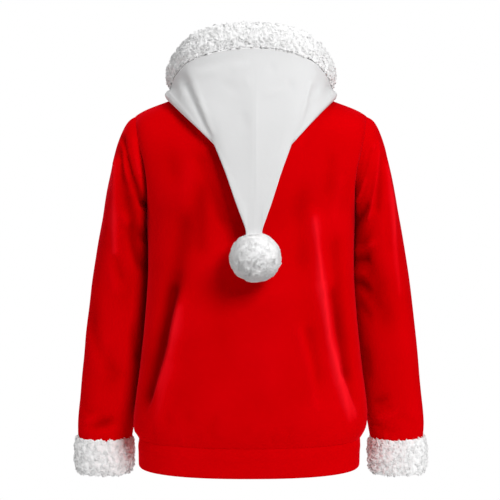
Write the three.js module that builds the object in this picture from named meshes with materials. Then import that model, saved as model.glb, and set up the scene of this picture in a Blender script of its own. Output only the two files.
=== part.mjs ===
// A hooded plush pullover with a long pointed hood, filled out as if worn.
// The hood is down and hangs on the back.
// Millimetres, +Z up. The front faces -Y, the back +Y, and the wearer's left is +X.
// The origin is the middle of the neck, level with the upper ends of the shoulder seams.

import * as THREE from 'three';

// Cloth and seams
const PLUSH = 2.2;             // wall of the red plush
const HOOD_PLUSH = 1.8;        // wall of the smooth white plush
const BAND_WALL = 3;           // the doubled cloth of the hem band
const SEAM_GAP = 0.3;          // between pieces at a seam
const ROUNDNESS = 2.35;        // exponent of the body's cross sections, 2 is an ellipse

// Body
const HEM_TOP = -624;          // lower edge of the panels, where the hem band starts
const HEM_BOTTOM = -676;       // lower edge of the hem band
const ARMPIT_Z = -222;
const ARMPIT_X = 187;
const SHOULDER_X = 205;        // shoulder point, where the sleeve's top is set in
const SHOULDER_DROP = 47;      // its drop below the neck
const SIDE_COLUMNS = 7;        // columns of a panel over one shoulder
const NECK_COLUMNS = 6;        // columns of a panel from the shoulder seam's neck end to the middle
const COLUMNS = SIDE_COLUMNS + NECK_COLUMNS;
const NECK_X = (SHOULDER_X * NECK_COLUMNS) / COLUMNS;
const LOWER_ROWS = 11;
const ARMHOLE_ROWS = 9;

const PANELS = {
  back: { side: 1, neckDepth: 62, neckDrop: 18, dropPower: 1 },
  front: { side: -1, neckDepth: 90, neckDrop: 84, dropPower: 0.75 },
};

// Half width and half depths of the body at each height
const BODY_RINGS = [
  { at: HEM_TOP, half: 201, back: 121, front: 119 },
  { at: -604, half: 210, back: 131, front: 128 },
  { at: -572, half: 209, back: 134, front: 130 },
  { at: -504, half: 201, back: 132, front: 129 },
  { at: -414, half: 191, back: 130, front: 128 },
  { at: -325, half: 185, back: 130, front: 128 },
  { at: ARMPIT_Z, half: ARMPIT_X, back: 130, front: 128 },
];

// The armhole from the armpit (0) to the shoulder point (1): its distance from the middle and its bulge
const ARMHOLE = [
  { at: 0, x: ARMPIT_X, bulge: 0 },
  { at: 0.13, x: 184, bulge: 38 },
  { at: 0.3, x: 183, bulge: 63 },
  { at: 0.5, x: 187, bulge: 71 },
  { at: 0.7, x: 195, bulge: 62 },
  { at: 0.88, x: 202, bulge: 38 },
  { at: 1, x: SHOULDER_X, bulge: 0 },
];

// Sleeve sections, from the armhole to the cuff, each from its inner to its outer edge
const SLEEVE_RINGS = [
  { at: 0, innerX: 187.4, innerZ: ARMPIT_Z, outerX: SHOULDER_X, outerZ: -SHOULDER_DROP, half: 71, y: 0 },
  { at: 1, innerX: 188.6, innerZ: -226, outerX: 221, outerZ: -56, half: 73, y: -1 },
  { at: 2, innerX: 189.2, innerZ: -231, outerX: 233, outerZ: -74, half: 74, y: -3 },
  { at: 3, innerX: 189.2, innerZ: -237, outerX: 243, outerZ: -97, half: 74, y: -5 },
  { at: 4, innerX: 188.6, innerZ: -245, outerX: 251, outerZ: -123, half: 74, y: -8 },
  { at: 5, innerX: 187.8, innerZ: -255, outerX: 258, outerZ: -154, half: 73, y: -12 },
  { at: 6, innerX: 187, innerZ: -270, outerX: 265, outerZ: -190, half: 71, y: -17 },
  { at: 7, innerX: 186, innerZ: -290, outerX: 272, outerZ: -230, half: 69, y: -23 },
  { at: 8, innerX: 185.6, innerZ: -315, outerX: 280, outerZ: -273, half: 67, y: -29 },
  { at: 10, innerX: 189, innerZ: -371, outerX: 293, outerZ: -348, half: 63, y: -38 },
  { at: 13, innerX: 200.5, innerZ: -468, outerX: 307, outerZ: -464, half: 58, y: -46 },
  { at: 16, innerX: 213, innerZ: -556, outerX: 317, outerZ: -556, half: 52, y: -50 },
  { at: 18, innerX: 221, innerZ: -610, outerX: 323, outerZ: -610, half: 47, y: -52 },
  { at: 19, innerX: 223, innerZ: -638, outerX: 320, outerZ: -638, half: 44, y: -52 },
];
const SLEEVE_STEPS = 19;

// Cuffs and hem band
const CUFF = { x: 270.5, y: -52, top: -638.4, bottom: -706, half: 57, deep: 51, wall: 10, lump: 1.6 };
const CUFF_SIDES = 28;
const HEM_SIDES = 44;

// Folds of the cloth as soft troughs (height below 0) and ridges, each along one line
// across the panel, seen from behind or in front
const BACK_FOLDS = [
  { x1: 134, z1: -335, x2: 158, z2: -450, height: -6, width: 12 },
  { x1: 158, z1: -450, x2: 190, z2: -560, height: -6, width: 12 },
  { x1: 116, z1: -345, x2: 140, z2: -480, height: 3.5, width: 13 },
  { x1: 140, z1: -480, x2: 172, z2: -600, height: 4, width: 13 },
  { x1: -104, z1: -205, x2: -119, z2: -340, height: 5, width: 12 },
  { x1: -119, z1: -340, x2: -150, z2: -509, height: 6.5, width: 12 },
  { x1: -150, z1: -509, x2: -184, z2: -598, height: 5, width: 12 },
  { x1: -141, z1: -340, x2: -170, z2: -520, height: -4.5, width: 11 },
  { x1: -84, z1: -160, x2: -88, z2: -330, height: -3, width: 16 },
  { x1: 84, z1: -150, x2: 104, z2: -300, height: -3, width: 18 },
  { x1: 60, z1: -560, x2: 74, z2: -615, height: -3, width: 9 },
  { x1: 6, z1: -575, x2: 12, z2: -615, height: -3, width: 10 },
];
const FRONT_FOLDS = [
  { x1: -150, z1: -250, x2: -118, z2: -380, height: -5, width: 13 },
  { x1: -118, z1: -380, x2: -150, z2: -560, height: -5, width: 13 },
  { x1: 148, z1: -240, x2: 112, z2: -400, height: -5.5, width: 13 },
  { x1: 112, z1: -400, x2: 150, z2: -585, height: -4.5, width: 12 },
  { x1: 92, z1: -380, x2: 118, z2: -590, height: 4, width: 13 },
  { x1: -92, z1: -330, x2: -120, z2: -590, height: 4.5, width: 13 },
  { x1: -60, z1: -110, x2: -20, z2: -200, height: -3.5, width: 14 },
  { x1: 58, z1: -105, x2: 24, z2: -210, height: -3.5, width: 14 },
  { x1: -30, z1: -570, x2: -38, z2: -615, height: -3, width: 9 },
];
// The same for sleeves, by step along the sleeve and by turn: 0 inner, 0.25 back, 0.5 outer, 0.75 front
const SLEEVE_FOLDS = {
  left: [
    { s1: 2.2, t1: 0.42, s2: 6.5, t2: 0.17, height: -6, width: 0.045 },
    { s1: 3.8, t1: 0.38, s2: 8.4, t2: 0.3, height: 4.5, width: 0.045 },
    { s1: 5.2, t1: 0.46, s2: 9.2, t2: 0.41, height: -4, width: 0.05 },
    { s1: 7.6, t1: 0.14, s2: 10.4, t2: 0.2, height: -5, width: 0.05 },
    { s1: 12, t1: 0.38, s2: 14.5, t2: 0.22, height: -3.5, width: 0.05 },
    { s1: 16.6, t1: 0.4, s2: 17.8, t2: 0.24, height: -4, width: 0.05 },
    { s1: 3, t1: 0.6, s2: 7.5, t2: 0.82, height: -6, width: 0.05 },
    { s1: 9, t1: 0.62, s2: 11, t2: 0.85, height: -5, width: 0.05 },
    { s1: 15.5, t1: 0.85, s2: 17.5, t2: 0.6, height: -4, width: 0.05 },
  ],
  right: [
    { s1: 2.6, t1: 0.4, s2: 6.2, t2: 0.2, height: -5, width: 0.045 },
    { s1: 3.6, t1: 0.38, s2: 8.6, t2: 0.29, height: 5, width: 0.045 },
    { s1: 4.4, t1: 0.48, s2: 10.4, t2: 0.42, height: -4.5, width: 0.05 },
    { s1: 7.2, t1: 0.14, s2: 9.6, t2: 0.22, height: -6, width: 0.05 },
    { s1: 9.4, t1: 0.13, s2: 11.2, t2: 0.24, height: -4, width: 0.05 },
    { s1: 16.4, t1: 0.16, s2: 17.8, t2: 0.34, height: -4.5, width: 0.05 },
    { s1: 2.8, t1: 0.6, s2: 7, t2: 0.8, height: -6, width: 0.05 },
    { s1: 8.6, t1: 0.64, s2: 11.4, t2: 0.84, height: -5, width: 0.05 },
    { s1: 15.2, t1: 0.82, s2: 17.2, t2: 0.6, height: -4, width: 0.05 },
  ],
};

// The hood's left half, from the centre-back seam (0) over the shoulder (6) to the front of the neck (12).
// edge: its opening; trim: the far edge of the band there; swell: the outer layer;
// fold: the hanging lower edge; turn: half the thickness of the fold;
// rise: how far the cloth lifts off the garment towards the tip
const HOOD = [
  { at: 0, edge: [0.15, 118, 60], trim: [0, 108, 105],
    swell: [0.15, 149, -50], fold: [0.15, 138, -265], turn: 5, rise: 30 },
  { at: 0.5, edge: [15, 117.8, 59.6], trim: [14, 107.8, 104.7],
    swell: [6, 148.6, -60], fold: [11, 138, -260], turn: 5, rise: 27 },
  { at: 1, edge: [30, 117, 58.5], trim: [28, 107, 104],
    swell: [12, 148, -70], fold: [14.5, 138, -244], turn: 5, rise: 21 },
  { at: 2, edge: [59, 113, 54], trim: [55, 103, 101],
    swell: [32, 145, -70], fold: [28, 136, -202], turn: 5, rise: 6 },
  { at: 3, edge: [86, 104, 47], trim: [83, 93, 94],
    swell: [56, 140, -62], fold: [45, 134, -154], turn: 5, rise: 1 },
  { at: 4, edge: [110, 88, 36], trim: [109, 74, 82],
    swell: [84, 126, -44], fold: [65, 128, -105], turn: 5, rise: 0 },
  { at: 5, edge: [130, 56, 17], trim: [134, 42, 60],
    swell: [120, 88, -18], fold: [114, 98, -52], turn: 6.5, rise: 0 },
  { at: 6, edge: [143, 12, 1], trim: [150, -2, 39],
    swell: [145, 16, -5.5], fold: [150, 22, -16], turn: 7.5, rise: 0 },
  { at: 7, edge: [135, -34, -8], trim: [139, -44, 29],
    swell: [136.5, -34, -15.5], fold: [141, -38, -22], turn: 5, rise: 0 },
  { at: 8, edge: [110, -66, -24], trim: [112, -76, 14],
    swell: [113, -73, -35], fold: [117, -78, -45], turn: 4, rise: 0 },
  { at: 10, edge: [57, -98, -44], trim: [57, -108, -5],
    swell: [58.5, -101, -56], fold: [60, -103, -65], turn: 3.5, rise: 0 },
  { at: 12, edge: [0.15, -106, -56], trim: [0.3, -116, -17],
    swell: [0.15, -107, -66], fold: [0.15, -106, -76], turn: 3, rise: 0 },
];
const HOOD_LEAN = -5;          // the centre-back seam lies this far to the wearer's right
const HOOD_LIFT = 4.2;         // the hood's under layer above the garment
const OUTER_LIFT = 9;          // least height of its outer layer
const EDGE_LIFT = 15;          // least height of its opening's edge
// The hood's roll over the neck seam: how far out, and how high behind and in front
const ROLL = { out: 15, up: 17, upFront: 8 };
const STRAIGHT = 6;            // the hood's cloth leaves its band straight for this length

// Creases of the hood's outer layer, as the folds above
const CREASES = [
  { x1: 128, z1: 26, x2: 100, z2: -30, height: -6, width: 9 },
  { x1: 100, z1: -30, x2: 72, z2: -80, height: -6, width: 10 },
  { x1: -118, z1: 20, x2: -92, z2: -40, height: -3, width: 12 },
  { x1: -92, z1: -40, x2: -68, z2: -90, height: -5, width: 10 },
  { x1: -40, z1: 34, x2: -84, z2: -10, height: 3.5, width: 12 },
  { x1: 20, z1: 30, x2: 34, z2: -60, height: 3, width: 14 },
];

// Section of the band round the opening; it is narrow where it meets the hood's cloth
const TRIM = { thick: 16, lump: 1.8, sides: 10, narrow: 0.55, narrowFrom: -0.5 };

// Reach of the locks, their distance from the back, and the cosine of the bare cone at the hood's tip
const POMPOM = { x: -7, z: -294, reach: 44.5, clear: 1.2, bare: 0.8 };
const LOCKS = { vary: 1.5, blunt: 0.42 };  // how much their lengths vary, and how far they narrow

const plush = (colour) => new THREE.MeshStandardMaterial({ color: colour, roughness: 0.85, metalness: 0 });
const COLOURS = { red: '#c8000a', smooth: '#e6e7ea', sherpa: '#f6f5f2', pile: '#fbfafa' };

// Small helpers

const vec = (x, y, z) => new THREE.Vector3(x, y, z);
const clamp = (value) => Math.min(1, Math.max(0, value));
const smooth = (value) => clamp(value) ** 2 * (3 - 2 * clamp(value));

// Value of a column of a table at a place between its rows, along a smooth curve through them
function read(table, at, column) {
  const last = table.length - 1;
  let k = 0;
  while (k < last - 1 && at > table[k + 1].at) k += 1;
  const span = table[k + 1].at - table[k].at;
  const t = (at - table[k].at) / span;
  const value = (row, i) => (i === undefined ? row[column] : row[column][i]);
  const curve = (i) => {
    const slope = (n) => {
      const a = table[Math.max(0, n - 1)];
      const b = table[Math.min(last, n + 1)];
      return ((value(b, i) - value(a, i)) / (b.at - a.at)) * span;
    };
    const t2 = t * t;
    const t3 = t2 * t;
    return value(table[k], i) * (2 * t3 - 3 * t2 + 1) + slope(k) * (t3 - 2 * t2 + t)
      + value(table[k + 1], i) * (3 * t2 - 2 * t3) + slope(k + 1) * (t3 - t2);
  };
  return Array.isArray(table[k][column]) ? vec(curve(0), curve(1), curve(2)) : curve();
}

// Height of all the folds of a table at one place
function foldHeight(folds, x, z) {
  let height = 0;
  for (const f of folds) {
    const along = clamp(((x - f.x1) * (f.x2 - f.x1) + (z - f.z1) * (f.z2 - f.z1))
      / ((f.x2 - f.x1) ** 2 + (f.z2 - f.z1) ** 2));
    const off = Math.hypot(x - f.x1 - along * (f.x2 - f.x1), z - f.z1 - along * (f.z2 - f.z1));
    height += f.height * Math.exp(-((off / f.width) ** 2));
  }
  return height;
}

function sleeveFoldHeight(folds, s, t) {
  let height = 0;
  for (const f of folds) {
    const along = clamp((s - f.s1) / (f.s2 - f.s1));
    const ahead = Math.max(0, f.s1 - s, s - f.s2);
    const off = (t - f.t1 - along * (f.t2 - f.t1)) / f.width;
    height += f.height * Math.exp(-(off ** 2) - ahead ** 2);
  }
  return height;
}

// Normals of a grid of points; round says that its columns close on themselves
function gridNormals(points, round, outward) {
  const rows = points.length;
  const columns = points[0].length;
  return points.map((row, i) => row.map((point, j) => {
    const down = points[Math.min(rows - 1, i + 1)][j].clone().sub(points[Math.max(0, i - 1)][j]);
    const before = round ? (j + columns - 1) % columns : Math.max(0, j - 1);
    const after = round ? (j + 1) % columns : Math.min(columns - 1, j + 1);
    return row[after].clone().sub(row[before]).cross(down).multiplyScalar(outward).normalize();
  }));
}

// A closed wall between a grid of outer points and the grid of points inside it
function wall(outer, inner, round) {
  const rows = outer.length;
  const columns = outer[0].length;
  const positions = [...outer.flat(), ...inner.flat()].flatMap((p) => [p.x, p.y, p.z]);
  const index = [];
  const quad = (a, b, c, d) => index.push(a, b, c, a, c, d);
  const out = (i, j) => i * columns + (j % columns);
  const into = (i, j) => rows * columns + out(i, j);
  const spans = round ? columns : columns - 1;
  for (let i = 0; i < rows - 1; i += 1) {
    for (let j = 0; j < spans; j += 1) {
      quad(out(i, j), out(i, j + 1), out(i + 1, j + 1), out(i + 1, j));
      quad(into(i, j), into(i + 1, j), into(i + 1, j + 1), into(i, j + 1));
    }
  }
  for (let j = 0; j < spans; j += 1) {
    quad(out(0, j + 1), out(0, j), into(0, j), into(0, j + 1));
    quad(out(rows - 1, j), out(rows - 1, j + 1), into(rows - 1, j + 1), into(rows - 1, j));
  }
  for (let i = 0; i < rows - 1 && !round; i += 1) {
    quad(out(i, 0), out(i + 1, 0), into(i + 1, 0), into(i, 0));
    quad(out(i + 1, columns - 1), out(i, columns - 1), into(i, columns - 1), into(i + 1, columns - 1));
  }
  return solid(positions, index);
}

// A geometry with its faces turned out, whichever way its grid ran
function solid(positions, index) {
  const at = (k) => vec(positions[3 * k], positions[3 * k + 1], positions[3 * k + 2]);
  let volume = 0;
  for (let n = 0; n < index.length; n += 3) {
    volume += at(index[n]).dot(at(index[n + 1]).cross(at(index[n + 2])));
  }
  const faces = [];
  for (let n = 0; n < index.length; n += 3) {
    faces.push(index[n], ...(volume > 0 ? [index[n + 1], index[n + 2]] : [index[n + 2], index[n + 1]]));
  }
  const geometry = new THREE.BufferGeometry();
  geometry.setAttribute('position', new THREE.Float32BufferAttribute(positions, 3));
  geometry.setIndex(faces);
  geometry.computeVertexNormals();
  return geometry;
}

const inside = (outer, normals, depth) => outer.map((row, i) => row.map(
  (point, j) => point.clone().addScaledVector(normals[i][j], -depth),
));

// Body panels

const bodyRing = (across) => (1 - Math.abs(across) ** ROUNDNESS) ** (1 / ROUNDNESS);

// Height of a panel's upper edge, and its distance behind (or before) the shoulder line
function topEdge(panel, x) {
  const off = Math.abs(x);
  if (off >= NECK_X - 0.01) {
    return { z: (-SHOULDER_DROP * (off - NECK_X)) / (SHOULDER_X - NECK_X), y: 0 };
  }
  const round = 1 - (off / NECK_X) ** 2;
  return { z: -panel.neckDrop * round ** panel.dropPower, y: panel.neckDepth * Math.sqrt(round) };
}

// How far across a panel a column lies: near the shoulders the columns suit the neck,
// near the hem they suit the sides
function acrossAt(column, rise) {
  const j = Math.abs(column);
  const over = (j - NECK_COLUMNS) / SIDE_COLUMNS;
  const neck = NECK_X / SHOULDER_X;
  const high = j <= NECK_COLUMNS
    ? neck * Math.sin(((j / NECK_COLUMNS) * Math.PI) / 2)
    : neck + (1 - neck) * (0.5 * over + 0.5 * Math.sin((over * Math.PI) / 2));
  const low = Math.sin(((j / COLUMNS) * Math.PI) / 2) ** (2 / ROUNDNESS);
  return Math.sign(column) * (high + (low - high) * smooth(-rise * 3));
}

// A point of a panel: across from -1 to 1, rise from -1 at the hem by 0 at the armpits to 1 at the shoulders
function panelPoint(panel, across, rise) {
  const depth = panel.side > 0 ? 'back' : 'front';
  if (rise <= 0) {
    const z = ARMPIT_Z + rise * (ARMPIT_Z - HEM_TOP);
    const y = panel.side * (read(BODY_RINGS, z, depth) * bodyRing(across) + SEAM_GAP / 2);
    return vec(across * read(BODY_RINGS, z, 'half'), y, z);
  }
  const top = topEdge(panel, across * SHOULDER_X);
  const z = ARMPIT_Z + rise * (top.z - ARMPIT_Z);
  const middle = BODY_RINGS.at(-1)[depth] * bodyRing(across);
  const round = Math.sqrt(Math.max(0, 1 - rise ** 3));
  const bulge = read(ARMHOLE, rise, 'bulge') * (1 - bodyRing(across)) ** 1.2;
  const y = top.y + Math.max(0, middle - top.y) * round + bulge;
  return vec(across * read(ARMHOLE, rise, 'x'), panel.side * (y + SEAM_GAP / 2), z);
}

// Direction out of the armhole at a turn of it: 0 armpit, 0.25 back, 0.5 shoulder point, 0.75 front.
// It leans along X near the armpit only.
const ARMPIT_LEAN = { most: 1.3, width: 0.1 };
const ARMHOLE_OVAL = 0.7;      // depth of the armhole to its height
function armholeNormal(point, turn, lean) {
  const middle = (ARMPIT_Z - SHOULDER_DROP) / 2;
  const low = Math.exp(-((Math.min(turn, 1 - turn) / ARMPIT_LEAN.width) ** 2));
  return vec(0, point.y, (point.z - middle) * ARMHOLE_OVAL).normalize()
    .add(vec(lean * ARMPIT_LEAN.most * low, 0, 0)).normalize();
}

function panelGrid(panel, folds) {
  const rises = [];
  for (let i = 0; i <= LOWER_ROWS; i += 1) rises.push(i / LOWER_ROWS - 1);
  for (let i = 1; i <= ARMHOLE_ROWS; i += 1) rises.push(i / ARMHOLE_ROWS);
  const points = rises.map((rise) => {
    const row = [];
    for (let j = -COLUMNS; j <= COLUMNS; j += 1) row.push(panelPoint(panel, acrossAt(j, rise), rise));
    return row;
  });
  const normals = gridNormals(points, false, panel.side);
  const rows = rises.length;
  const columns = 2 * COLUMNS + 1;
  const outward = normals[4][COLUMNS].y * panel.side > 0 ? 1 : -1;
  normals.flat().forEach((n) => n.multiplyScalar(outward));
  points.forEach((row, i) => row.forEach((point, j) => {
    const border = Math.min(i, rows - 1 - i, j, columns - 1 - j);
    const calm = smooth(border / 2.5);
    point.addScaledVector(normals[i][j], foldHeight(folds, point.x, point.z) * calm);
  }));
  for (let i = 0; i < rows; i += 1) {
    for (const j of [0, columns - 1]) {
      const side = j === 0 ? -1 : 1;
      if (rises[i] <= 0) normals[i][j] = vec(side, 0, 0);
      else {
        const turn = panel.side > 0 ? rises[i] / 2 : 1 - rises[i] / 2;
        normals[i][j] = armholeNormal(points[i][j], turn, 1);
        normals[i][j].x *= side;
      }
    }
  }
  for (let j = 0; j < columns; j += 1) {
    if (Math.abs(j - COLUMNS) >= NECK_COLUMNS) normals[rows - 1][j] = vec(0, 0, 1);
    else {
      const { y, z } = normals[rows - 1][j];
      normals[rows - 1][j] = vec(0, y, Math.abs(z)).normalize();
    }
  }
  return { points, normals };
}

const backGrid = panelGrid(PANELS.back, BACK_FOLDS);
const frontGrid = panelGrid(PANELS.front, FRONT_FOLDS);
const panelWall = ({ points, normals }) => wall(points, inside(points, normals, PLUSH), false);

// Sleeves

const armholeTurn = (turn) => {
  const back = turn <= 0.5;
  const rise = back ? turn * 2 : 2 - turn * 2;
  return panelPoint(back ? PANELS.back : PANELS.front, 1, Math.max(1e-6, rise));
};

function sleeveSection(step, turn) {
  const row = (column) => read(SLEEVE_RINGS, step, column);
  const inner = vec(row('innerX'), row('y'), row('innerZ'));
  const outer = vec(row('outerX'), row('y'), row('outerZ'));
  const angle = turn * 2 * Math.PI;
  const middle = inner.clone().add(outer).multiplyScalar(0.5);
  const across = outer.clone().sub(inner).multiplyScalar(0.5);
  const power = (value) => Math.sign(value) * Math.abs(value) ** 0.92;
  return middle.addScaledVector(across, -power(Math.cos(angle)))
    .add(vec(0, row('half') * power(Math.sin(angle)), 0));
}

function sleeve(side, folds) {
  const around = 2 * ARMHOLE_ROWS;
  const points = [];
  for (let step = 0; step <= SLEEVE_STEPS; step += 1) {
    const row = [];
    const blend = smooth(step / 4);
    for (let k = 0; k < around; k += 1) {
      const turn = k / around;
      const seam = armholeTurn(turn).sub(sleeveSection(0, turn)).add(vec(SEAM_GAP, 0, 0));
      row.push(sleeveSection(step, turn).addScaledVector(seam, 1 - blend));
    }
    points.push(row);
  }
  const normals = gridNormals(points, true, 1);
  const outward = normals[8][around / 2].x > 0 ? 1 : -1;
  normals.flat().forEach((n) => n.multiplyScalar(outward));
  points.forEach((row, step) => row.forEach((point, k) => {
    const turn = k / around;
    const ends = smooth(step / 2) * smooth((SLEEVE_STEPS - step) / 1.5);
    const calm = ends * smooth(Math.min(turn, 1 - turn) * 9);
    point.addScaledVector(normals[step][k], sleeveFoldHeight(folds, step, turn) * calm);
  }));
  points[0].forEach((point, k) => {
    normals[0][k] = armholeNormal(point, k / around, -1);
  });
  points.at(-1).forEach((point, k) => normals.at(-1)[k].setZ(0).normalize());
  const mirror = (grid) => grid.map((row) => row.map((p) => vec(side * p.x, p.y, p.z)));
  return wall(mirror(points), mirror(inside(points, normals, PLUSH)), true);
}

// Hem band and cuffs: rings with a profile

function ring(sides, profile, pointAt) {
  const points = profile.map((step, i) => {
    const row = [];
    for (let k = 0; k < sides; k += 1) row.push(pointAt(step, (k / sides) * 2 * Math.PI, i, k));
    return row;
  });
  const positions = points.flat().flatMap((p) => [p.x, p.y, p.z]);
  const index = [];
  for (let i = 0; i < profile.length; i += 1) {
    for (let k = 0; k < sides; k += 1) {
      const here = (a, b) => (a % profile.length) * sides + (b % sides);
      index.push(here(i, k), here(i, k + 1), here(i + 1, k + 1));
      index.push(here(i, k), here(i + 1, k + 1), here(i + 1, k));
    }
  }
  return solid(positions, index);
}

const oval = (half, deep, angle) => {
  const power = (value) => Math.sign(value) * Math.abs(value) ** (2 / ROUNDNESS);
  return vec(half * power(Math.cos(angle)), deep * power(Math.sin(angle)), 0);
};

const HEM_PROFILE = [
  { z: HEM_TOP - SEAM_GAP, out: 0 },
  { z: HEM_TOP - 14, out: 1.5 },
  { z: (HEM_TOP + HEM_BOTTOM) / 2, out: 0.5 },
  { z: HEM_BOTTOM + 4, out: 0 },
  { z: HEM_BOTTOM, out: -1 },
  { z: HEM_BOTTOM + 0.4, out: -BAND_WALL },
  { z: (HEM_TOP + HEM_BOTTOM) / 2, out: 0.5 - BAND_WALL },
  { z: HEM_TOP - SEAM_GAP, out: -BAND_WALL },
];

const hemBand = () => {
  const { half, back, front } = BODY_RINGS[0];
  return ring(HEM_SIDES, HEM_PROFILE, (step, angle) => {
    const deep = Math.sin(angle) > 0 ? back : front;
    return oval(half - 1 + step.out, deep - 1 + step.out, angle).setZ(step.z);
  });
};

const CUFF_PROFILE = [
  { drop: 0, out: -5 },
  { drop: 0.1, out: -1 },
  { drop: 0.34, out: 0.6 },
  { drop: 0.66, out: 0.6 },
  { drop: 0.9, out: -1.5 },
  { drop: 1, out: -5.5 },
  { drop: 0.96, out: -CUFF.wall },
  { drop: 0.5, out: -CUFF.wall },
  { drop: 0, out: -CUFF.wall - 2 },
];
const OUTER_STEPS = 5;

function cuff(side) {
  return ring(CUFF_SIDES, CUFF_PROFILE, (step, angle, i, k) => {
    const outside = i > 0 && i < OUTER_STEPS;
    const lump = outside ? CUFF.lump * Math.sin(k * 2.4 + i * 1.9 + side) * Math.cos(k * 1.1 - i * 2.6) : 0;
    const point = oval(CUFF.half + step.out + lump, CUFF.deep + step.out + lump, angle);
    const z = CUFF.top + step.drop * (CUFF.bottom - CUFF.top);
    return vec(side * (CUFF.x + point.x), CUFF.y + point.y, z);
  });
}

// Hood

// Fine samples of the body's outside, from a little under the armpits up, to lay the hood on
const FINE = { rows: 84, columns: 46, from: -0.2 };
const samples = [];
for (const panel of [PANELS.back, PANELS.front]) {
  const fine = [];
  for (let i = 0; i <= FINE.rows; i += 1) {
    const rise = FINE.from + (i / FINE.rows) * (1 - FINE.from);
    const row = [];
    for (let j = -FINE.columns; j <= FINE.columns; j += 1) {
      row.push(panelPoint(panel, j / FINE.columns, rise));
    }
    fine.push(row);
  }
  const normals = gridNormals(fine, false, 1);
  const outward = normals[4][FINE.columns].y * panel.side > 0 ? 1 : -1;
  fine.forEach((row, i) => row.forEach((point, j) => {
    const normal = normals[i][j].multiplyScalar(outward);
    samples.push({ point: point.clone(), normal });
  }));
}

function nearest(point) {
  let best = samples[0];
  let least = Infinity;
  for (const sample of samples) {
    const distance = sample.point.distanceToSquared(point);
    if (distance < least) {
      least = distance;
      best = sample;
    }
  }
  return best;
}

// Height of a point over the garment, and the point moved out to a least height
const heightOver = (point, sample) => point.clone().sub(sample.point).dot(sample.normal);
function liftOff(point, height) {
  const sample = nearest(point);
  const lack = height - heightOver(point, sample);
  if (lack > 0) point.addScaledVector(sample.normal, lack);
  return point;
}
function layAt(point, height) {
  for (let n = 0; n < 3; n += 1) {
    const sample = nearest(point);
    point.addScaledVector(sample.normal, height - heightOver(point, sample));
  }
  return point;
}

// Level of the garment under a point, if it lies under it at all
function levelUnder(point) {
  let level = -Infinity;
  let least = Infinity;
  for (const sample of samples) {
    const off = Math.hypot(sample.point.x - point.x, sample.point.y - point.y);
    if (off < least) {
      least = off;
      level = sample.point.z;
    }
  }
  return level;
}

const OUTER_PART = 8;          // steps of the hood's outer layer, fold and under layer
const FOLD_PART = 3;
const UNDER_PART = 7;

// Sections of the hood and of its band, from the centre back to the front
const HOOD_PLACES = [];
for (let at = 0; at <= 2 * NECK_COLUMNS; at += 0.5) HOOD_PLACES.push(at);

function neckPoint(at) {
  const panel = at <= NECK_COLUMNS ? PANELS.back : PANELS.front;
  const across = acrossAt(at <= NECK_COLUMNS ? at : 2 * NECK_COLUMNS - at, 1);
  return panelPoint(panel, across, 1).add(vec(0, 0, SEAM_GAP + 0.1));
}

// The opening's edge and the far edge of its band, clear of the garment
function opening(at) {
  const edge = read(HOOD, at, 'edge');
  const raised = liftOff(edge.clone(), EDGE_LIFT);
  return { edge: raised, far: read(HOOD, at, 'trim').add(raised).sub(edge) };
}

function hoodColumn(at) {
  const row = (column) => read(HOOD, at, column);
  const whole = Math.floor(at);
  const neck = neckPoint(whole).lerp(neckPoint(Math.ceil(at)), at - whole);
  const turn = row('turn');
  const fold = layAt(row('fold'), HOOD_LIFT + turn + row('rise'));
  const ground = nearest(fold).normal;
  const swell = row('swell');
  const outward = vec(neck.x, neck.y, 0).normalize();
  const front = smooth((at - NECK_COLUMNS) / NECK_COLUMNS + 0.3);
  const roll = neck.clone().addScaledVector(outward, ROLL.out * (1 - 0.4 * front));
  roll.z = Math.max(neck.z, levelUnder(roll)) + ROLL.up + (ROLL.upFront - ROLL.up) * front;
  const inward = roll.clone().sub(fold);
  inward.addScaledVector(ground, -inward.dot(ground)).normalize();
  const full = 0.3 + 0.7 * smooth(NECK_COLUMNS - at);
  const above = fold.clone().addScaledVector(inward, turn * full).addScaledVector(ground, turn);
  const below = fold.clone().addScaledVector(inward, turn).addScaledVector(ground, -turn);
  const under = layAt(below.clone().lerp(roll, 0.5), HOOD_LIFT + row('rise') * 0.12);
  const { edge, far } = opening(at);
  const straight = edge.clone().sub(far).setLength(STRAIGHT).add(edge);
  const outer = new THREE.CatmullRomCurve3([edge, straight, swell, above], false, 'centripetal');
  const inner = new THREE.CatmullRomCurve3([below, under, roll, neck], false, 'centripetal');
  const points = [];
  for (let i = 0; i <= OUTER_PART; i += 1) {
    points.push(liftOff(outer.getPointAt(i / OUTER_PART), OUTER_LIFT));
  }
  for (let i = 1; i < FOLD_PART; i += 1) {
    const angle = (i / FOLD_PART) * Math.PI;
    const back = turn * (1 - Math.sin(angle)) * (angle < Math.PI / 2 ? full : 1);
    points.push(fold.clone().addScaledVector(inward, back).addScaledVector(ground, turn * Math.cos(angle)));
  }
  for (let i = 0; i <= UNDER_PART; i += 1) {
    const point = inner.getPointAt(i / UNDER_PART);
    points.push(i < UNDER_PART ? liftOff(point, HOOD_LIFT * Math.min(1, (UNDER_PART - i) / 2)) : point);
  }
  return points.map((p) => p.setX(Math.max(p.x, SEAM_GAP / 2)));
}

// A point of the left half, or its mirror image, moved by the lean of the seam.
// The lean starts at a depth of from, is whole past it by over, and fades out at the hood's sides.
const LEAN = { from: 70, over: 60, sides: 150 };
function hoodLean(p, side) {
  const behind = smooth((p.y - LEAN.from) / LEAN.over);
  return vec(side * p.x + HOOD_LEAN * behind * (1 - smooth(Math.abs(p.x) / LEAN.sides)), p.y, p.z);
}

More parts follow.
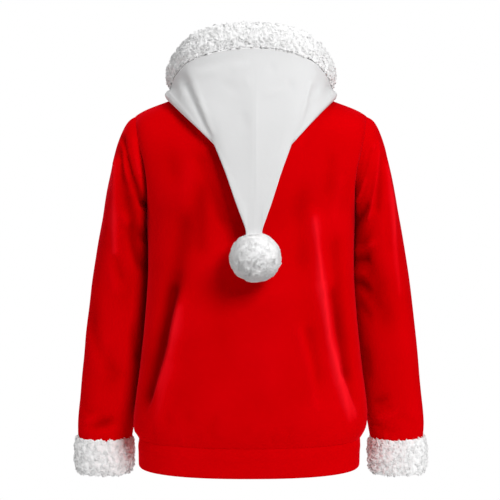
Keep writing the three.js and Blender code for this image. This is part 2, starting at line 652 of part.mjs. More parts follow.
function hoodHalf(side) {
  const points = HOOD_PLACES.map(hoodColumn);
  const normals = gridNormals(points, false, 1);
  const outward = normals[2][3].y > 0 ? 1 : -1;
  normals.flat().forEach((n) => n.multiplyScalar(outward));
  for (const seam of [0, HOOD_PLACES.length - 1]) normals[seam].forEach((n) => n.setX(0).normalize());
  points.forEach((row, i) => row.forEach((point, j) => {
    if (j > OUTER_PART || i < 1 || HOOD_PLACES[i] > NECK_COLUMNS) return;
    const calm = smooth(j / 2) * smooth((OUTER_PART - j) / 3);
    point.addScaledVector(normals[i][j], foldHeight(CREASES, side * point.x, point.z) * calm);
    liftOff(point, OUTER_LIFT);
  }));
  const place = (grid) => grid.map((row) => row.map((p) => hoodLean(p, side)));
  return wall(place(points), place(inside(points, normals, HOOD_PLUSH)), false);
}

// The band round the opening: a thick oval section from the hood's edge outwards
function hoodTrim() {
  const positions = [];
  const index = [];
  const { sides, thick, lump, narrow, narrowFrom } = TRIM;
  const places = [...HOOD_PLACES.slice(1).reverse().map((at) => -at), ...HOOD_PLACES];
  const steps = places.length - 1;
  const placeAt = (i) => {
    const side = places[i] < 0 ? -1 : 1;
    const at = Math.abs(places[i]);
    const mirror = (p) => vec(side * Math.max(0, p.x), p.y, p.z);
    const { edge, far } = opening(at);
    return { edge: mirror(edge), far: mirror(far), end: i === 0 || i === steps };
  };
  for (let i = 0; i <= steps; i += 1) {
    const here = placeAt(i);
    const before = placeAt(Math.max(0, i - 1));
    const after = placeAt(Math.min(steps, i + 1));
    const along = after.edge.add(after.far).sub(before.edge).sub(before.far);
    if (here.end) along.set(1, 0, 0);
    const reach = here.far.clone().sub(here.edge);
    const out = along.clone().cross(reach).normalize();
    const start = here.edge.clone().addScaledVector(reach.clone().normalize(), SEAM_GAP + 0.2);
    const middle = start.clone().add(here.far).multiplyScalar(0.5);
    if (here.end) {
      middle.x = SEAM_GAP / 2 * (i === 0 ? -1 : 1);
      reach.x = 0;
      out.x = 0;
    }
    const half = middle.distanceTo(here.far);
    reach.normalize();
    for (let k = 0; k < sides; k += 1) {
      const angle = ((k + 0.5) / sides) * 2 * Math.PI;
      const rough = lump * Math.sin(i * 2.3 + k * 1.7) * Math.cos(i * 1.2 - k * 2.9) * (here.end ? 0 : 1);
      const high = Math.sign(Math.cos(angle)) * Math.abs(Math.cos(angle)) ** 0.8;
      const wide = Math.sign(Math.sin(angle)) * Math.abs(Math.sin(angle)) ** 0.7;
      const atSeam = high < narrowFrom;
      const point = middle.clone().addScaledVector(reach, high * (half + (atSeam ? 0 : rough)))
        .addScaledVector(out, wide * (atSeam ? narrow : 1) * (thick / 2 + rough));
      positions.push(point.x, point.y, point.z);
    }
  }
  for (let i = 0; i < steps; i += 1) {
    for (let k = 0; k < sides; k += 1) {
      const here = (a, b) => a * sides + (b % sides);
      index.push(here(i, k), here(i, k + 1), here(i + 1, k + 1));
      index.push(here(i, k), here(i + 1, k + 1), here(i + 1, k));
    }
  }
  for (let k = 1; k < sides - 1; k += 1) {
    index.push(0, k + 1, k);
    index.push(steps * sides, steps * sides + k, steps * sides + k + 1);
  }
  return solid(positions, index);
}

// Pompom: blunt three-sided locks on the faces of a round core, none where the hood's tip meets it
function pompom() {
  const ground = nearest(vec(POMPOM.x, PANELS.back.neckDepth * 2, POMPOM.z));
  const centre = vec(POMPOM.x, ground.point.y + POMPOM.reach + POMPOM.clear, POMPOM.z);
  const tip = hoodLean(hoodColumn(0)[OUTER_PART + 1], 1);
  const towards = tip.clone().sub(centre);
  const core = towards.length() - SEAM_GAP;
  towards.normalize();
  const ball = new THREE.IcosahedronGeometry(1, 2).getAttribute('position');
  const first = vec(ball.getX(0), ball.getY(0), ball.getZ(0)).normalize();
  const turn = new THREE.Quaternion().setFromUnitVectors(first, towards);
  const positions = [];
  const index = [];
  const roots = new Map();
  const root = (direction) => {
    const key = direction.toArray().map((value) => value.toFixed(3)).join();
    if (!roots.has(key)) {
      roots.set(key, positions.length / 3);
      positions.push(...centre.clone().addScaledVector(direction, core).toArray());
    }
    return roots.get(key);
  };
  for (let f = 0; f < ball.count; f += 3) {
    const corners = [f, f + 1, f + 2].map(
      (k) => vec(ball.getX(k), ball.getY(k), ball.getZ(k)).normalize().applyQuaternion(turn),
    );
    const base = corners.map(root);
    const middle = corners[0].clone().add(corners[1]).add(corners[2]).normalize();
    if (middle.dot(towards) > POMPOM.bare) {
      index.push(...base);
      continue;
    }
    const length = POMPOM.reach + LOCKS.vary * (Math.sin(f * 1.7) - 1);
    const end = corners.map((corner) => {
      const blunt = corner.clone().lerp(middle, LOCKS.blunt).normalize();
      positions.push(...centre.clone().addScaledVector(blunt, length).toArray());
      return positions.length / 3 - 1;
    });
    for (let k = 0; k < 3; k += 1) {
      const next = (k + 1) % 3;
      index.push(base[k], base[next], end[next], base[k], end[next], end[k]);
    }
    index.push(...end);
  }
  return solid(positions, index);
}

// The garment

const hoodie = new THREE.Group();
function add(name, geometry, colour) {
  const mesh = new THREE.Mesh(geometry, plush(colour));
  mesh.name = name;
  hoodie.add(mesh);
}

add('back', panelWall(backGrid), COLOURS.red);
add('front', panelWall(frontGrid), COLOURS.red);
add('sleeve_left', sleeve(1, SLEEVE_FOLDS.left), COLOURS.red);
add('sleeve_right', sleeve(-1, SLEEVE_FOLDS.right), COLOURS.red);
add('hem_band', hemBand(), COLOURS.red);
add('cuff_left', cuff(1), COLOURS.sherpa);
add('cuff_right', cuff(-1), COLOURS.sherpa);
add('hood_left', hoodHalf(1), COLOURS.smooth);
add('hood_right', hoodHalf(-1), COLOURS.smooth);
add('hood_trim', hoodTrim(), COLOURS.sherpa);
add('pompom', pompom(), COLOURS.pile);

export default hoodie;
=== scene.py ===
# A hooded plush pullover with a long pointed hood, filled out as if worn, dressed for rendering.
# Lengths are millimetres until a mesh is made. The back faces +Y and the wearer's left is +X.

import math

import bpy
import numpy as np
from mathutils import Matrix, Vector
from mathutils.kdtree import KDTree


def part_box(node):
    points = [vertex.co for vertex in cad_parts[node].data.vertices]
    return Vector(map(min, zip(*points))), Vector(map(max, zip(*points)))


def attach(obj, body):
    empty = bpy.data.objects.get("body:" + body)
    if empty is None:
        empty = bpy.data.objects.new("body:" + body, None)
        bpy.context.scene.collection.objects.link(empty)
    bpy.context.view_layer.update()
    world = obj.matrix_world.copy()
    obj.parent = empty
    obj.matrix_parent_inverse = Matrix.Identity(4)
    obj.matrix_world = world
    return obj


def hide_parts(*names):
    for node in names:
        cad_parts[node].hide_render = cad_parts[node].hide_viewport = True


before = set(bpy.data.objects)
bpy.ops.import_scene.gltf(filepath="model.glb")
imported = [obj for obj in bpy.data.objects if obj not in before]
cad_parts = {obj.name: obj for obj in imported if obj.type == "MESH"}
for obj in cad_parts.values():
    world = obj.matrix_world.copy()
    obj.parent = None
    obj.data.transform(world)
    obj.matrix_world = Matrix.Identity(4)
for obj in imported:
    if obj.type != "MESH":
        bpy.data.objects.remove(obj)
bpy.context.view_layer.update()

MM = 0.001

# Camera: straight from behind, a little above the garment's middle
CAMERA = {"distance": 2.25, "rise": 3.0, "target": (0.0018, 0.0, -0.288), "lens": 90, "film": 36}


def new_object(name, data):
    thing = bpy.data.objects.new(name, data)
    bpy.context.scene.collection.objects.link(thing)
    return thing


def make_camera():
    data = bpy.data.cameras.new("camera")
    data.lens = CAMERA["lens"]
    data.sensor_width = CAMERA["film"]
    camera = new_object("camera", data)
    rise = math.radians(CAMERA["rise"])
    back, up = CAMERA["distance"] * math.cos(rise), CAMERA["distance"] * math.sin(rise)
    camera.location = np.array(CAMERA["target"]) + (0, back, up)
    camera.rotation_euler = (math.pi / 2 - rise, 0, math.pi)
    bpy.context.scene.camera = camera


make_camera()

# Cloth and seams
PLUSH = 2.2            # wall of the red plush
HOOD_PLUSH = 1.8       # wall of the smooth white plush
SEAM_GAP = 0.04        # between pieces at a seam
ROUNDNESS = 2.35       # exponent of the body's cross sections, 2 is an ellipse

# Body
HEM_TOP = -624
HEM_BOTTOM = -676
ARMPIT_Z = -222
ARMPIT_X = 187
SHOULDER_X = 205
SHOULDER_DROP = 47
SIDE_COLUMNS = 7
NECK_COLUMNS = 6
COLUMNS = SIDE_COLUMNS + NECK_COLUMNS
NECK_X = SHOULDER_X * NECK_COLUMNS / COLUMNS
LOWER_ROWS = 11
ARMHOLE_ROWS = 9
FINER = 6              # steps of a piece's mesh for each step of its solid


def table(names, rows):
    """A short table as named columns."""
    return dict(zip(names.split(), np.array(rows, float).T))


PANELS = {
    "back": {"side": 1, "neck_depth": 62, "neck_drop": 18, "drop_power": 1},
    "front": {"side": -1, "neck_depth": 90, "neck_drop": 84, "drop_power": 0.75},
}

# Half width and half depths of the body at each height
BODY_RINGS = table("at half back front", [
    (HEM_TOP, 201, 121, 119),
    (-604, 211, 131, 128),
    (-572, 210, 134, 130),
    (-504, 201, 132, 129),
    (-414, 191, 130, 128),
    (-325, 185, 130, 128),
    (ARMPIT_Z, ARMPIT_X, 130, 128),
])

# The armhole from the armpit (0) to the shoulder point (1): its distance from the middle and its bulge
ARMHOLE = table("at x bulge", [
    (0, ARMPIT_X, 0),
    (0.13, 184, 38),
    (0.3, 183, 63),
    (0.5, 187, 71),
    (0.7, 195, 62),
    (0.88, 202, 38),
    (1, SHOULDER_X, 0),
])

# Sleeve sections, from the armhole to the cuff, each from its inner to its outer edge
SLEEVE_RINGS = table("at inner_x inner_z outer_x outer_z half y", [
    (0, 187.4, ARMPIT_Z, SHOULDER_X, -SHOULDER_DROP, 71, 0),
    (1, 187.4, -226, 219, -56, 73, -1),
    (2, 187.3, -231, 230, -74, 74, -3),
    (3, 187.2, -237, 238.5, -97, 74, -5),
    (4, 187.1, -245, 246, -123, 74, -8),
    (5, 186.6, -255, 254.5, -154, 73, -12),
    (6, 186, -270, 262.5, -190, 71, -17),
    (7, 185.3, -290, 270, -230, 69, -23),
    (8, 185, -315, 277.5, -273, 67, -29),
    (10, 187, -371, 290.5, -348, 63, -38),
    (13, 197, -468, 305, -464, 58, -46),
    (16, 208, -556, 315, -556, 52, -50),
    (18, 216, -610, 320, -610, 47, -52),
    (19, 221, -638, 318.5, -638, 44, -52),
])
SLEEVE_STEPS = 19
SLEEVE_SIDES = 144
SLEEVE_OVAL = 0.92     # exponent of the sleeve's sections
SLEEVE_ROUND = 300     # its way round near the cuff
HEAD_EASE = 1.3        # fullness of the sleeve's head just below the shoulder point

CUFF = {"x": 271.8, "y": -52, "top": -634.4, "bottom": -701.5, "half": 54, "deep": 48}


def folds(rows):
    """Soft troughs (height below 0) and ridges, each along a line. A row of four goes on from the last."""
    whole = []
    for row in rows:
        whole.append(row if len(row) == 6 else (*whole[-1][2:4], *row))
    return table("x1 z1 x2 z2 height width", whole)


# Across the back and the front
BACK_FOLDS = folds([
    (134, -335, 158, -450, -6, 12), (190, -560, -6, 12),
    (116, -345, 140, -480, 3.5, 13), (172, -600, 4, 13),
    (-104, -205, -119, -340, 5, 12), (-150, -509, 6.5, 12), (-184, -598, 5, 12),
    (-141, -340, -170, -520, -4.5, 11),
    (-84, -160, -88, -330, -1.2, 18),
    (84, -150, 104, -300, -2, 20),
    # A trough beside the hood's tail where its cast shadow falls; with the colour set by fold height it is a
    # painted shadow
    (92, -110, 40, -252, -3.2, 13),
    (60, -560, 74, -615, -3, 9),
    (6, -575, 12, -615, -3, 10),
    (112, -205, 130, -325, -4, 16), (158, -445, -6, 15), (188, -585, -4.6, 14),
    (122, -370, 142, -460, 3.6, 7), (160, -520, 3.6, 6), (182, -574, 3, 6),
    (-106, -225, -114, -290, 2.5, 4), (-119, -348, 3.6, 4), (-132, -440, 4.4, 4), (-151, -512, 4.2, 4),
    (-172, -588, 3.6, 5),
    (-154, -500, -184, -582, 3, 4),
    (-145, -250, -157, -380, -3.5, 12), (-181, -560, -4, 11),
    (-84, -150, -99, -420, -1.5, 20), (-120, -520, -2.6, 13),
    (-77, -405, -100, -488, 2.6, 8), (-112, -565, 2, 8),
    (60, -330, 44, -520, -2, 26),
    (-20, -420, -34, -560, 1.6, 24),
    (-46, -588, -68, -614, 2.5, 5),
    (-62, -580, -80, -612, -2, 6),
    (149, -560, 140, -596, -2.5, 7),
    (112, -556, 106, -590, -2, 9),
    (76, -588, 62, -606, -3, 5), (40, -616, -2.5, 5),
    (88, -585, 70, -612, 2, 6),
    (24, -592, 30, -618, 1.8, 6),
    (-4, -590, -2, -618, -1.6, 6),
    (87, -160, 86, -300, -2, 12),
    (140, -100, 132, -180, -2.2, 14),
    (104, -120, 118, -230, 1.6, 12),
    (-140, -110, -128, -200, -2.2, 12),
    (-156, -150, -140, -240, 1.6, 8),
])
FRONT_FOLDS = folds([
    (-150, -250, -118, -380, -5, 13), (-150, -560, -5, 13),
    (148, -240, 112, -400, -5.5, 13), (150, -585, -4.5, 12),
    (92, -380, 118, -590, 4, 13),
    (-92, -330, -120, -590, 4.5, 13),
    (-60, -110, -20, -200, -3.5, 14),
    (58, -105, 24, -210, -3.5, 14),
    (-30, -570, -38, -615, -3, 9),
    (150, -100, 128, -190, -2.4, 12),
    (-148, -104, -126, -200, -2.4, 12),
    (164, -230, 140, -330, 2.2, 8),
    (-166, -236, -138, -345, 2.4, 7), (-150, -440, 2.4, 7),
    (150, -470, 170, -580, 2.6, 7),
    (-164, -480, -176, -584, 2.6, 7),
    (40, -260, 56, -390, 1.6, 15),
    (-34, -300, -52, -440, 1.6, 15),
    (70, -560, 62, -612, 2.2, 6),
    (48, -572, 40, -616, -2.2, 6),
    (-58, -566, -66, -614, 2.2, 6),
    (-84, -575, -96, -614, -2.4, 6),
    (12, -584, 8, -616, 1.8, 6),
])

# The same for sleeves, by step along the sleeve and by turn: 0 inner, 0.25 back, 0.5 outer, 0.75 front
SLEEVE_FOLD = "s1 t1 s2 t2 height width"
SLEEVE_FOLDS = {
    "left": table(SLEEVE_FOLD, [
        (2.2, 0.42, 6.5, 0.17, -1, 0.045),
        (3.8, 0.38, 8.4, 0.3, 2, 0.045),
        (5.2, 0.46, 9.2, 0.41, -1.2, 0.05),
        (7.6, 0.14, 10.4, 0.2, -2, 0.05),
        (12, 0.38, 14.5, 0.22, -3.5, 0.05),
        (16.6, 0.4, 17.8, 0.24, -1.2, 0.05),
        (3, 0.6, 7.5, 0.82, -6, 0.05),
        (9, 0.62, 11, 0.85, -5, 0.05),
        (15.5, 0.85, 17.5, 0.6, -4, 0.05),
    ]),
    "right": table(SLEEVE_FOLD, [
        (2.6, 0.4, 6.2, 0.2, -1, 0.045),
        (3.6, 0.38, 8.6, 0.29, 2, 0.045),
        (4.4, 0.48, 10.4, 0.42, -1.5, 0.05),
        (7.2, 0.14, 9.6, 0.22, -4, 0.05),
        (9.4, 0.13, 11.2, 0.24, -3, 0.05),
        (16.4, 0.16, 17.8, 0.34, -1.2, 0.05),
        (2.8, 0.6, 7, 0.8, -6, 0.05),
        (8.6, 0.64, 11.4, 0.84, -5, 0.05),
        (15.2, 0.82, 17.2, 0.6, -4, 0.05),
    ]),
}

# Finer creases on the back of each sleeve, and on the front of the other
SLEEVE_CREASES = {
    "left": folds([
        (228, -82, 218, -122, -5, 5), (207, -158, -7, 5), (184, -216, -7.5, 6),
        (232, -100, 225, -156, -4.5, 7), (217, -195, -5, 9), (204, -243, -5.5, 10),
        (184, -278, -5.5, 10),
        (237, -120, 240, -300, 4, 6),
        (228, -100, 213, -170, 3.2, 4.5),
        (206, -84, 192, -160, 3, 5),
        (219, -234, 190, -330, -5, 10),
        (230, -215, 214, -250, 2.5, 7),
        (243, -292, 228, -349, -3, 8),
        (250, -322, 238, -373, 2.5, 8),
        (214, -420, 206, -500, -2.5, 9),
        (262, -430, 270, -520, 1.5, 12),
        (308, -606, 276, -588, 3, 6),
        (296, -617, 244, -594, -3.6, 8),
        (288, -628, 236, -612, 2.2, 6),
    ]),
    "right": folds([
        (217, -96, 205, -135, 3, 3.2), (186, -205, 3, 3.2),
        (212, -106, 196, -165, -3, 4.5),
        (224, -92, 220, -145, 2.4, 3), (205, -236, 3, 3.2),
        (234, -110, 221, -225, -3.4, 6),
        (206, -200, 176, -256, -5.5, 6.5),
        (228, -106, 235, -138, 1.6, 5), (246, -195, 3.4, 5), (252, -262, 3.8, 5), (266, -375, 3.2, 6),
        (240, -200, 243, -300, -2, 8),
        (222, -270, 184, -292, 5, 6),
        (214, -304, 180, -306, -5.2, 7),
        (208, -331, 180, -325, 3, 5),
        (216, -366, 180, -338, -4.4, 8),
        (188, -374, 219, -419, -3, 9),
        (206, -460, 214, -530, -2, 8),
        (212, -572, 256, -552, -2.6, 8),
        (220, -602, 272, -578, 2.6, 7),
        (216, -604, 268, -628, -3, 7),
    ]),
}
OTHER_SIDE = {"left": "right", "right": "left"}

# The hood's left half, from the centre-back seam (0) over the shoulder (6) to the front of the neck (12).
# edge: its opening; trim: the far edge of the band there; swell: the outer layer;
# fold: the hanging lower edge; turn: half the thickness of the fold;
# rise: how far the cloth lifts off the garment towards the tip
HOOD = table("at ex ey ez tx ty tz sx sy sz fx fy fz turn rise", [
    (0, 0, 118, 60, 0, 108, 105, 0, 147, -50, 0, 138, -265, 5, 30),
    (0.5, 15, 117.8, 59.8, 14, 107.8, 104.8, 6, 147, -58, 10.6, 138, -260, 5, 29),
    (1, 30, 117, 58.8, 28, 107, 104.2, 13, 146.6, -66, 14, 138, -244, 5, 28),
    (2, 59, 113, 54.5, 55, 103, 101.5, 32, 145, -68, 28.4, 136, -202, 5, 22),
    (3, 86, 104, 47, 83, 93, 94, 57, 141, -60, 44.6, 134, -154, 5, 14),
    (3.5, 99, 97.3, 42.6, 95.6, 85.8, 89.3, 71, 136, -51.5, 54.5, 131.5, -129, 5, 9),
    (4, 111, 88, 37, 107, 76, 83, 85, 129, -42, 64.4, 128, -104.5, 5, 5),
    (5, 131, 56, 19, 130, 43, 62, 122, 86, -10, 116, 96, -52, 8, 0),
    (6, 142, 12, 1, 143.5, -2, 39, 142.5, 16, -1, 149, 22, -22, 7.8, 0),
    (7, 135, -34, -8, 137.5, -44, 29, 138, -34, -12, 141, -38, -24, 6, 0),
    (8, 110, -66, -24, 112, -76, 14, 113, -73, -35, 117, -78, -45, 4, 0),
    (10, 57, -98, -44, 57, -108, -5, 58.5, -101, -56, 60, -103, -65, 3.5, 0),
    (12, 0.15, -106, -56, 0.3, -116, -17, 0.15, -107, -66, 0.15, -106, -76, 3, 0),
])
HOOD_LIFT = 4.2        # the hood's under layer above the garment
OUTER_LIFT = 9         # least height of its outer layer
LEAST_LIFT = 6.5       # the same in its creases
EDGE_LIFT = 15         # least height of its opening's edge
ROLL = {"out": 15, "up": 17, "up_front": 8}
STRAIGHT = 6           # the hood's cloth leaves its band straight for this length
OUTER_PART = 8         # steps of the outer layer, the fold and the under layer
FOLD_PART = 3
UNDER_PART = 7
LEAN = {"by": -5, "from": 70, "over": 60, "sides": 150}
HOOD_FOLDS = folds([
    (124, 27, 112, 0, -3, 9), (100, -30, -3.8, 6.5), (86, -60, -3.8, 5), (72, -96, -3.2, 4),
    (104, 20, 90, -20, 1.2, 7), (66, -90, 1.6, 5),
    (-2.5, 40, -2.5, -200, 0.5, 2.5),
    (-109, 2, -102, -34, -1.2, 8), (-80, -86, -1.4, 7),
    (-101, 6, -84, -58, 2, 3.6), (-66, -102, 2, 3.4),
    (104, 30, 60, 40, -2.4, 6), (12, 45, -2.4, 5),
    (40, 22, 4, 37, 2, 6),
    (100, 14, 52, 26, 1.6, 8),
    (60, 2, 20, -12, -1.4, 9),
    (20, 6, 4, 0, 1.2, 5),
    (-12, -19, -48, -11, 1.2, 5),
    (-20, 30, -42, 24, -1.4, 6),
    (18, -45, 14, -85, -1, 8),
    (-58, 12, -70, -20, -1.2, 8),
])
TRIM = {"thick": 16, "narrow": 0.55, "narrow_from": -0.5, "finer": 9, "sides": 64}
FLEECE = {"cuff": (9, 2000), "trim": (6, 4700)}     # width of its clumps, and number of its curls
POMPOM = {"x": -7, "z": -291.5, "reach": 44.3, "flat": 0.955}


# Small helpers

def smooth(value):
    value = np.clip(value, 0, 1)
    return value * value * (3 - 2 * value)


def unit(vectors):
    return vectors / np.maximum(np.linalg.norm(vectors, axis=-1, keepdims=True), 1e-9)


def read_points(rows, names, at):
    return np.stack([read(rows, name, at) for name in names.split()], -1)


def angles(count):
    """Angles all round, evenly spaced."""
    return np.arange(count) / count * 2 * np.pi


def raised(points, normals, height):
    return points + normals * height[..., None]


def curve_between(start, end, start_slope, end_slope, t):
    """A cubic from a start (t of 0) to an end (t of 1), with its slopes there."""
    return (start * (2 * t ** 3 - 3 * t ** 2 + 1) + start_slope * (t ** 3 - 2 * t ** 2 + t)
            + end * (3 * t ** 2 - 2 * t ** 3) + end_slope * (t ** 3 - t ** 2))


def beside_each(count):
    """The places before and after each of a row of places, or the place itself at an end."""
    return np.maximum(np.arange(count) - 1, 0), np.minimum(np.arange(count) + 1, count - 1)


def read(rows, name, at):
    """Values of a column at places between its rows, along a smooth curve through them."""
    places, values = rows["at"], rows[name]
    at = np.clip(at, places[0], places[-1])
    k = np.clip(np.searchsorted(places, at) - 1, 0, len(places) - 2)
    before, after = beside_each(len(places))
    slopes = (values[after] - values[before]) / (places[after] - places[before])
    span = places[k + 1] - places[k]
    return curve_between(values[k], values[k + 1], slopes[k] * span, slopes[k + 1] * span,
                         (at - places[k]) / span)


FADE = {"from": -0.4, "over": 2.6}      # in widths of a fold, how it comes up from its end


def fold_height(lines, x, z):
    """Height of a table's folds at each place. A row that starts where the last one ends continues it."""
    rows = list(zip(*lines.values()))
    height = np.zeros_like(x)
    fold = np.zeros_like(x)
    for k, (x1, z1, x2, z2, rise, width) in enumerate(rows):
        continues = k > 0 and rows[k - 1][2:4] == (x1, z1)
        goes_on = k + 1 < len(rows) and rows[k + 1][:2] == (x2, z2)
        dx, dz = x2 - x1, z2 - z1
        length = math.hypot(dx, dz)
        place = ((x - x1) * dx + (z - z1) * dz) / length
        along = np.clip(place, 0, length) / length
        off = np.hypot(x - x1 - along * dx, z - z1 - along * dz)
        stretch = rise * np.exp(-(off / width) ** 2)
        if not continues:
            stretch = stretch * smooth((place / width - FADE["from"]) / FADE["over"])
        if not goes_on:
            stretch = stretch * smooth(((length - place) / width - FADE["from"]) / FADE["over"])
        if continues:
            fold = np.where(np.abs(stretch) > np.abs(fold), stretch, fold)
        else:
            height += fold
            fold = stretch
    return height + fold


def sleeve_fold_height(lines, s, t):
    height = np.zeros_like(s)
    for s1, t1, s2, t2, rise, width in zip(*lines.values()):
        along = np.clip((s - s1) / (s2 - s1), 0, 1)
        ahead = np.maximum(0, np.maximum(s1 - s, s - s2))
        off = (t - t1 - along * (t2 - t1)) / width
        height += rise * np.exp(-off ** 2 - ahead ** 2)
    return height


def grid_normals(points, closed, row, column, towards):
    """Normals of a grid of points, turned so that the one at row and column points towards a direction."""
    down = np.gradient(points, axis=0)
    if closed:
        along = np.roll(points, -1, 1) - np.roll(points, 1, 1)
    else:
        along = np.gradient(points, axis=1)
    normals = unit(np.cross(along, down))
    return normals * np.sign(np.dot(normals[row, column], towards))


def calmed(points, rounds, closed):
    """The grid with its sharp bends evened out, its open edges kept."""
    points = points.copy()
    for _ in range(rounds):
        around = points[:-2] + points[2:]
        if closed:
            sides = np.roll(points, 1, 1) + np.roll(points, -1, 1)
            points[1:-1] = (2 * points[1:-1] + around + sides[1:-1]) / 6
        else:
            middle = points[1:-1, 1:-1]
            sides = points[1:-1, :-2] + points[1:-1, 2:]
            points[1:-1, 1:-1] = (2 * middle + around[:, 1:-1] + sides) / 6
    return points


SEAM_DIP = {"depth": 0.3, "width": 3}


def dip_seams(points, normals, seams, share):
    """Sinks the cloth towards the stitches along its seams, by a share of the whole depth."""
    depth = 0
    for seam in seams:
        off = np.linalg.norm(points - seam, axis=-1)
        depth = np.maximum(depth, SEAM_DIP["depth"] * np.exp(-(off / SEAM_DIP["width"]) ** 2))
    return raised(points, normals, -depth * share)


# Meshes

RIM_ANGLE = 55                                   # faces that meet at more than this have a crisp edge
PAINTED_FOLD_LIGHT = {"even": 0.5, "by_height": 0.038}          # painted highlight on a ridge (1) and painted shade in a trough (0), by fold height


def facing_out(points, faces):
    """The faces, turned over if their normals point in."""
    a, b, c, d = (points[faces[:, k]] - points.mean(0) for k in range(4))
    volume = np.einsum("ij,ij->", a, np.cross(b, c) + np.cross(c, d))
    return faces if volume > 0 else faces[:, ::-1]


def mesh_object(name, points, faces, material, slot, normals=None, painted_fold_light=None):
    """A smooth mesh in metres, riding on the garment. Pile takes the normals of the coat it makes."""
    mesh = bpy.data.meshes.new(name)
    mesh.from_pydata((np.asarray(points) * MM).tolist(), [], np.asarray(faces).tolist())
    mesh.polygons.foreach_set("use_smooth", [True] * len(mesh.polygons))
    mesh.materials.append(material)
    mesh.update()
    if normals is not None:
        mesh.normals_split_custom_set_from_vertices(normals.tolist())
    # Painted light: the colour follows the fold height, painted shade in troughs and painted highlight on
    # ridges
    if painted_fold_light is not None:
        mesh.set_sharp_from_angle(angle=math.radians(RIM_ANGLE))
        values = np.full(len(points), PAINTED_FOLD_LIGHT["even"])
        values[:painted_fold_light.size] = np.clip(PAINTED_FOLD_LIGHT["even"] + PAINTED_FOLD_LIGHT["by_height"] * painted_fold_light.ravel(), 0, 1)
        mesh.attributes.new("painted_fold_light", "FLOAT", "POINT").data.foreach_set("value", values)
    piece = new_object(name, mesh)
    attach(piece, "root")
    return piece


def repeated(faces, count, step):
    """The faces of copies of a piece with a number of points."""
    return (faces[None] + (np.arange(count) * step)[:, None, None]).reshape(-1, faces.shape[1])


def grid_faces(rows, columns, closed, ring=False):
    """Faces of a grid. It may close on itself across its columns, and as a ring both ways."""
    i, j = np.meshgrid(np.arange(rows if ring else rows - 1), np.arange(columns if closed else columns - 1),
                       indexing="ij")
    down, beside = (i + 1) % rows, (j + 1) % columns
    corners = [(i, j), (i, beside), (down, beside), (down, j)]
    return np.stack([a * columns + b for a, b in corners], -1).reshape(-1, 4)


def ring_object(name, points, material, slot, painted_fold_light=None):
    """A mesh from a grid of points that closes on itself both ways."""
    flat = points.reshape(-1, 3)
    faces = facing_out(flat, grid_faces(*points.shape[:2], True, True))
    return mesh_object(name, flat, faces, material, slot, painted_fold_light=painted_fold_light)


def wall(outer, inner, closed):
    """Points and faces of a closed wall between two grids of points."""
    rows, columns = outer.shape[:2]
    count = rows * columns
    points = np.concatenate([outer.reshape(-1, 3), inner.reshape(-1, 3)])
    index = np.arange(count).reshape(rows, columns)
    if closed:
        rims = [np.append(index[0], index[0][0]), np.append(index[-1], index[-1][0])[::-1]]
    else:
        rims = [np.concatenate([index[0], index[1:, -1], index[-1, -2::-1], index[-2::-1, 0]])]
    sheet = grid_faces(rows, columns, closed)
    faces = [sheet, sheet[:, ::-1] + count]
    for rim in rims:
        faces.append(np.stack([rim[1:], rim[:-1], rim[:-1] + count, rim[1:] + count], -1))
    return points, facing_out(points, np.concatenate(faces))


def refined(grid, rows, columns):
    """A finer grid on a smooth surface through a coarse one."""
    for axis, finer in ((0, rows), (1, columns)):
        grid = np.moveaxis(grid, axis, 0)
        steps = np.linalg.norm(np.diff(grid, axis=0), axis=-1).mean(1) ** 0.5
        places = np.concatenate([[0], np.cumsum(steps)])
        last = len(places) - 1
        before, after = beside_each(len(places))
        ahead = np.diff(grid, axis=0) / steps[:, None, None]
        ahead = np.concatenate([ahead, ahead[-1:]])
        behind = np.concatenate([ahead[:1], ahead[:-1]])
        weight = (places - places[before])[:, None, None]
        other = (places[after] - places)[:, None, None]
        slopes = (ahead * weight + behind * other) / (weight + other)
        at = np.arange(last * finer + 1) / finer
        k = np.minimum(at.astype(int), last - 1)
        t = (at - k)[:, None, None]
        span = steps[k][:, None, None]
        grid = curve_between(grid[k], grid[k + 1], slopes[k] * span, slopes[k + 1] * span, t)
        grid = np.moveaxis(grid, 0, axis)
    return grid


# Body panels

SHOULDER_SWELL = 32    # how strongly the shoulder bows up before the armhole
SWAY = {"by": 3.5, "from": -560, "over": 90}     # the lower body hangs a little to the wearer's left


def swayed(points):
    """Points of the body, moved by its sway."""
    by = SWAY["by"] * smooth((SWAY["from"] - points[..., 2]) / SWAY["over"])
    return points + by[..., None] * np.array([1, 0, 0])


def body_ring(across):
    return np.clip(1 - np.abs(across) ** ROUNDNESS, 0, None) ** (1 / ROUNDNESS)


def top_edge(panel, x):
    """Height of a panel's upper edge, and its distance behind (or before) the shoulder line."""
    off = np.abs(x)
    curve = np.clip(1 - (off / NECK_X) ** 2, 0, None)
    over = (off - NECK_X) / (SHOULDER_X - NECK_X)
    slope = -SHOULDER_DROP * over + SHOULDER_SWELL * np.maximum(over, 0) ** 4 * (1 - over)
    z = np.where(off >= NECK_X, slope, -panel["neck_drop"] * curve ** panel["drop_power"])
    return z, panel["neck_depth"] * np.sqrt(curve)


def across_at(column, rise):
    """How far across a panel a column lies: near the shoulders it suits the neck, near the hem the sides."""
    j = np.abs(column)
    over = (j - NECK_COLUMNS) / SIDE_COLUMNS
    neck = NECK_X / SHOULDER_X
    at_neck = neck * np.sin(j / NECK_COLUMNS * np.pi / 2)
    at_side = neck + (1 - neck) * (0.5 * over + 0.5 * np.sin(over * np.pi / 2))
    high = np.where(j <= NECK_COLUMNS, at_neck, at_side)
    low = np.sin(j / COLUMNS * np.pi / 2) ** (2 / ROUNDNESS)
    return np.sign(column) * (high + (low - high) * smooth(-rise * 3))


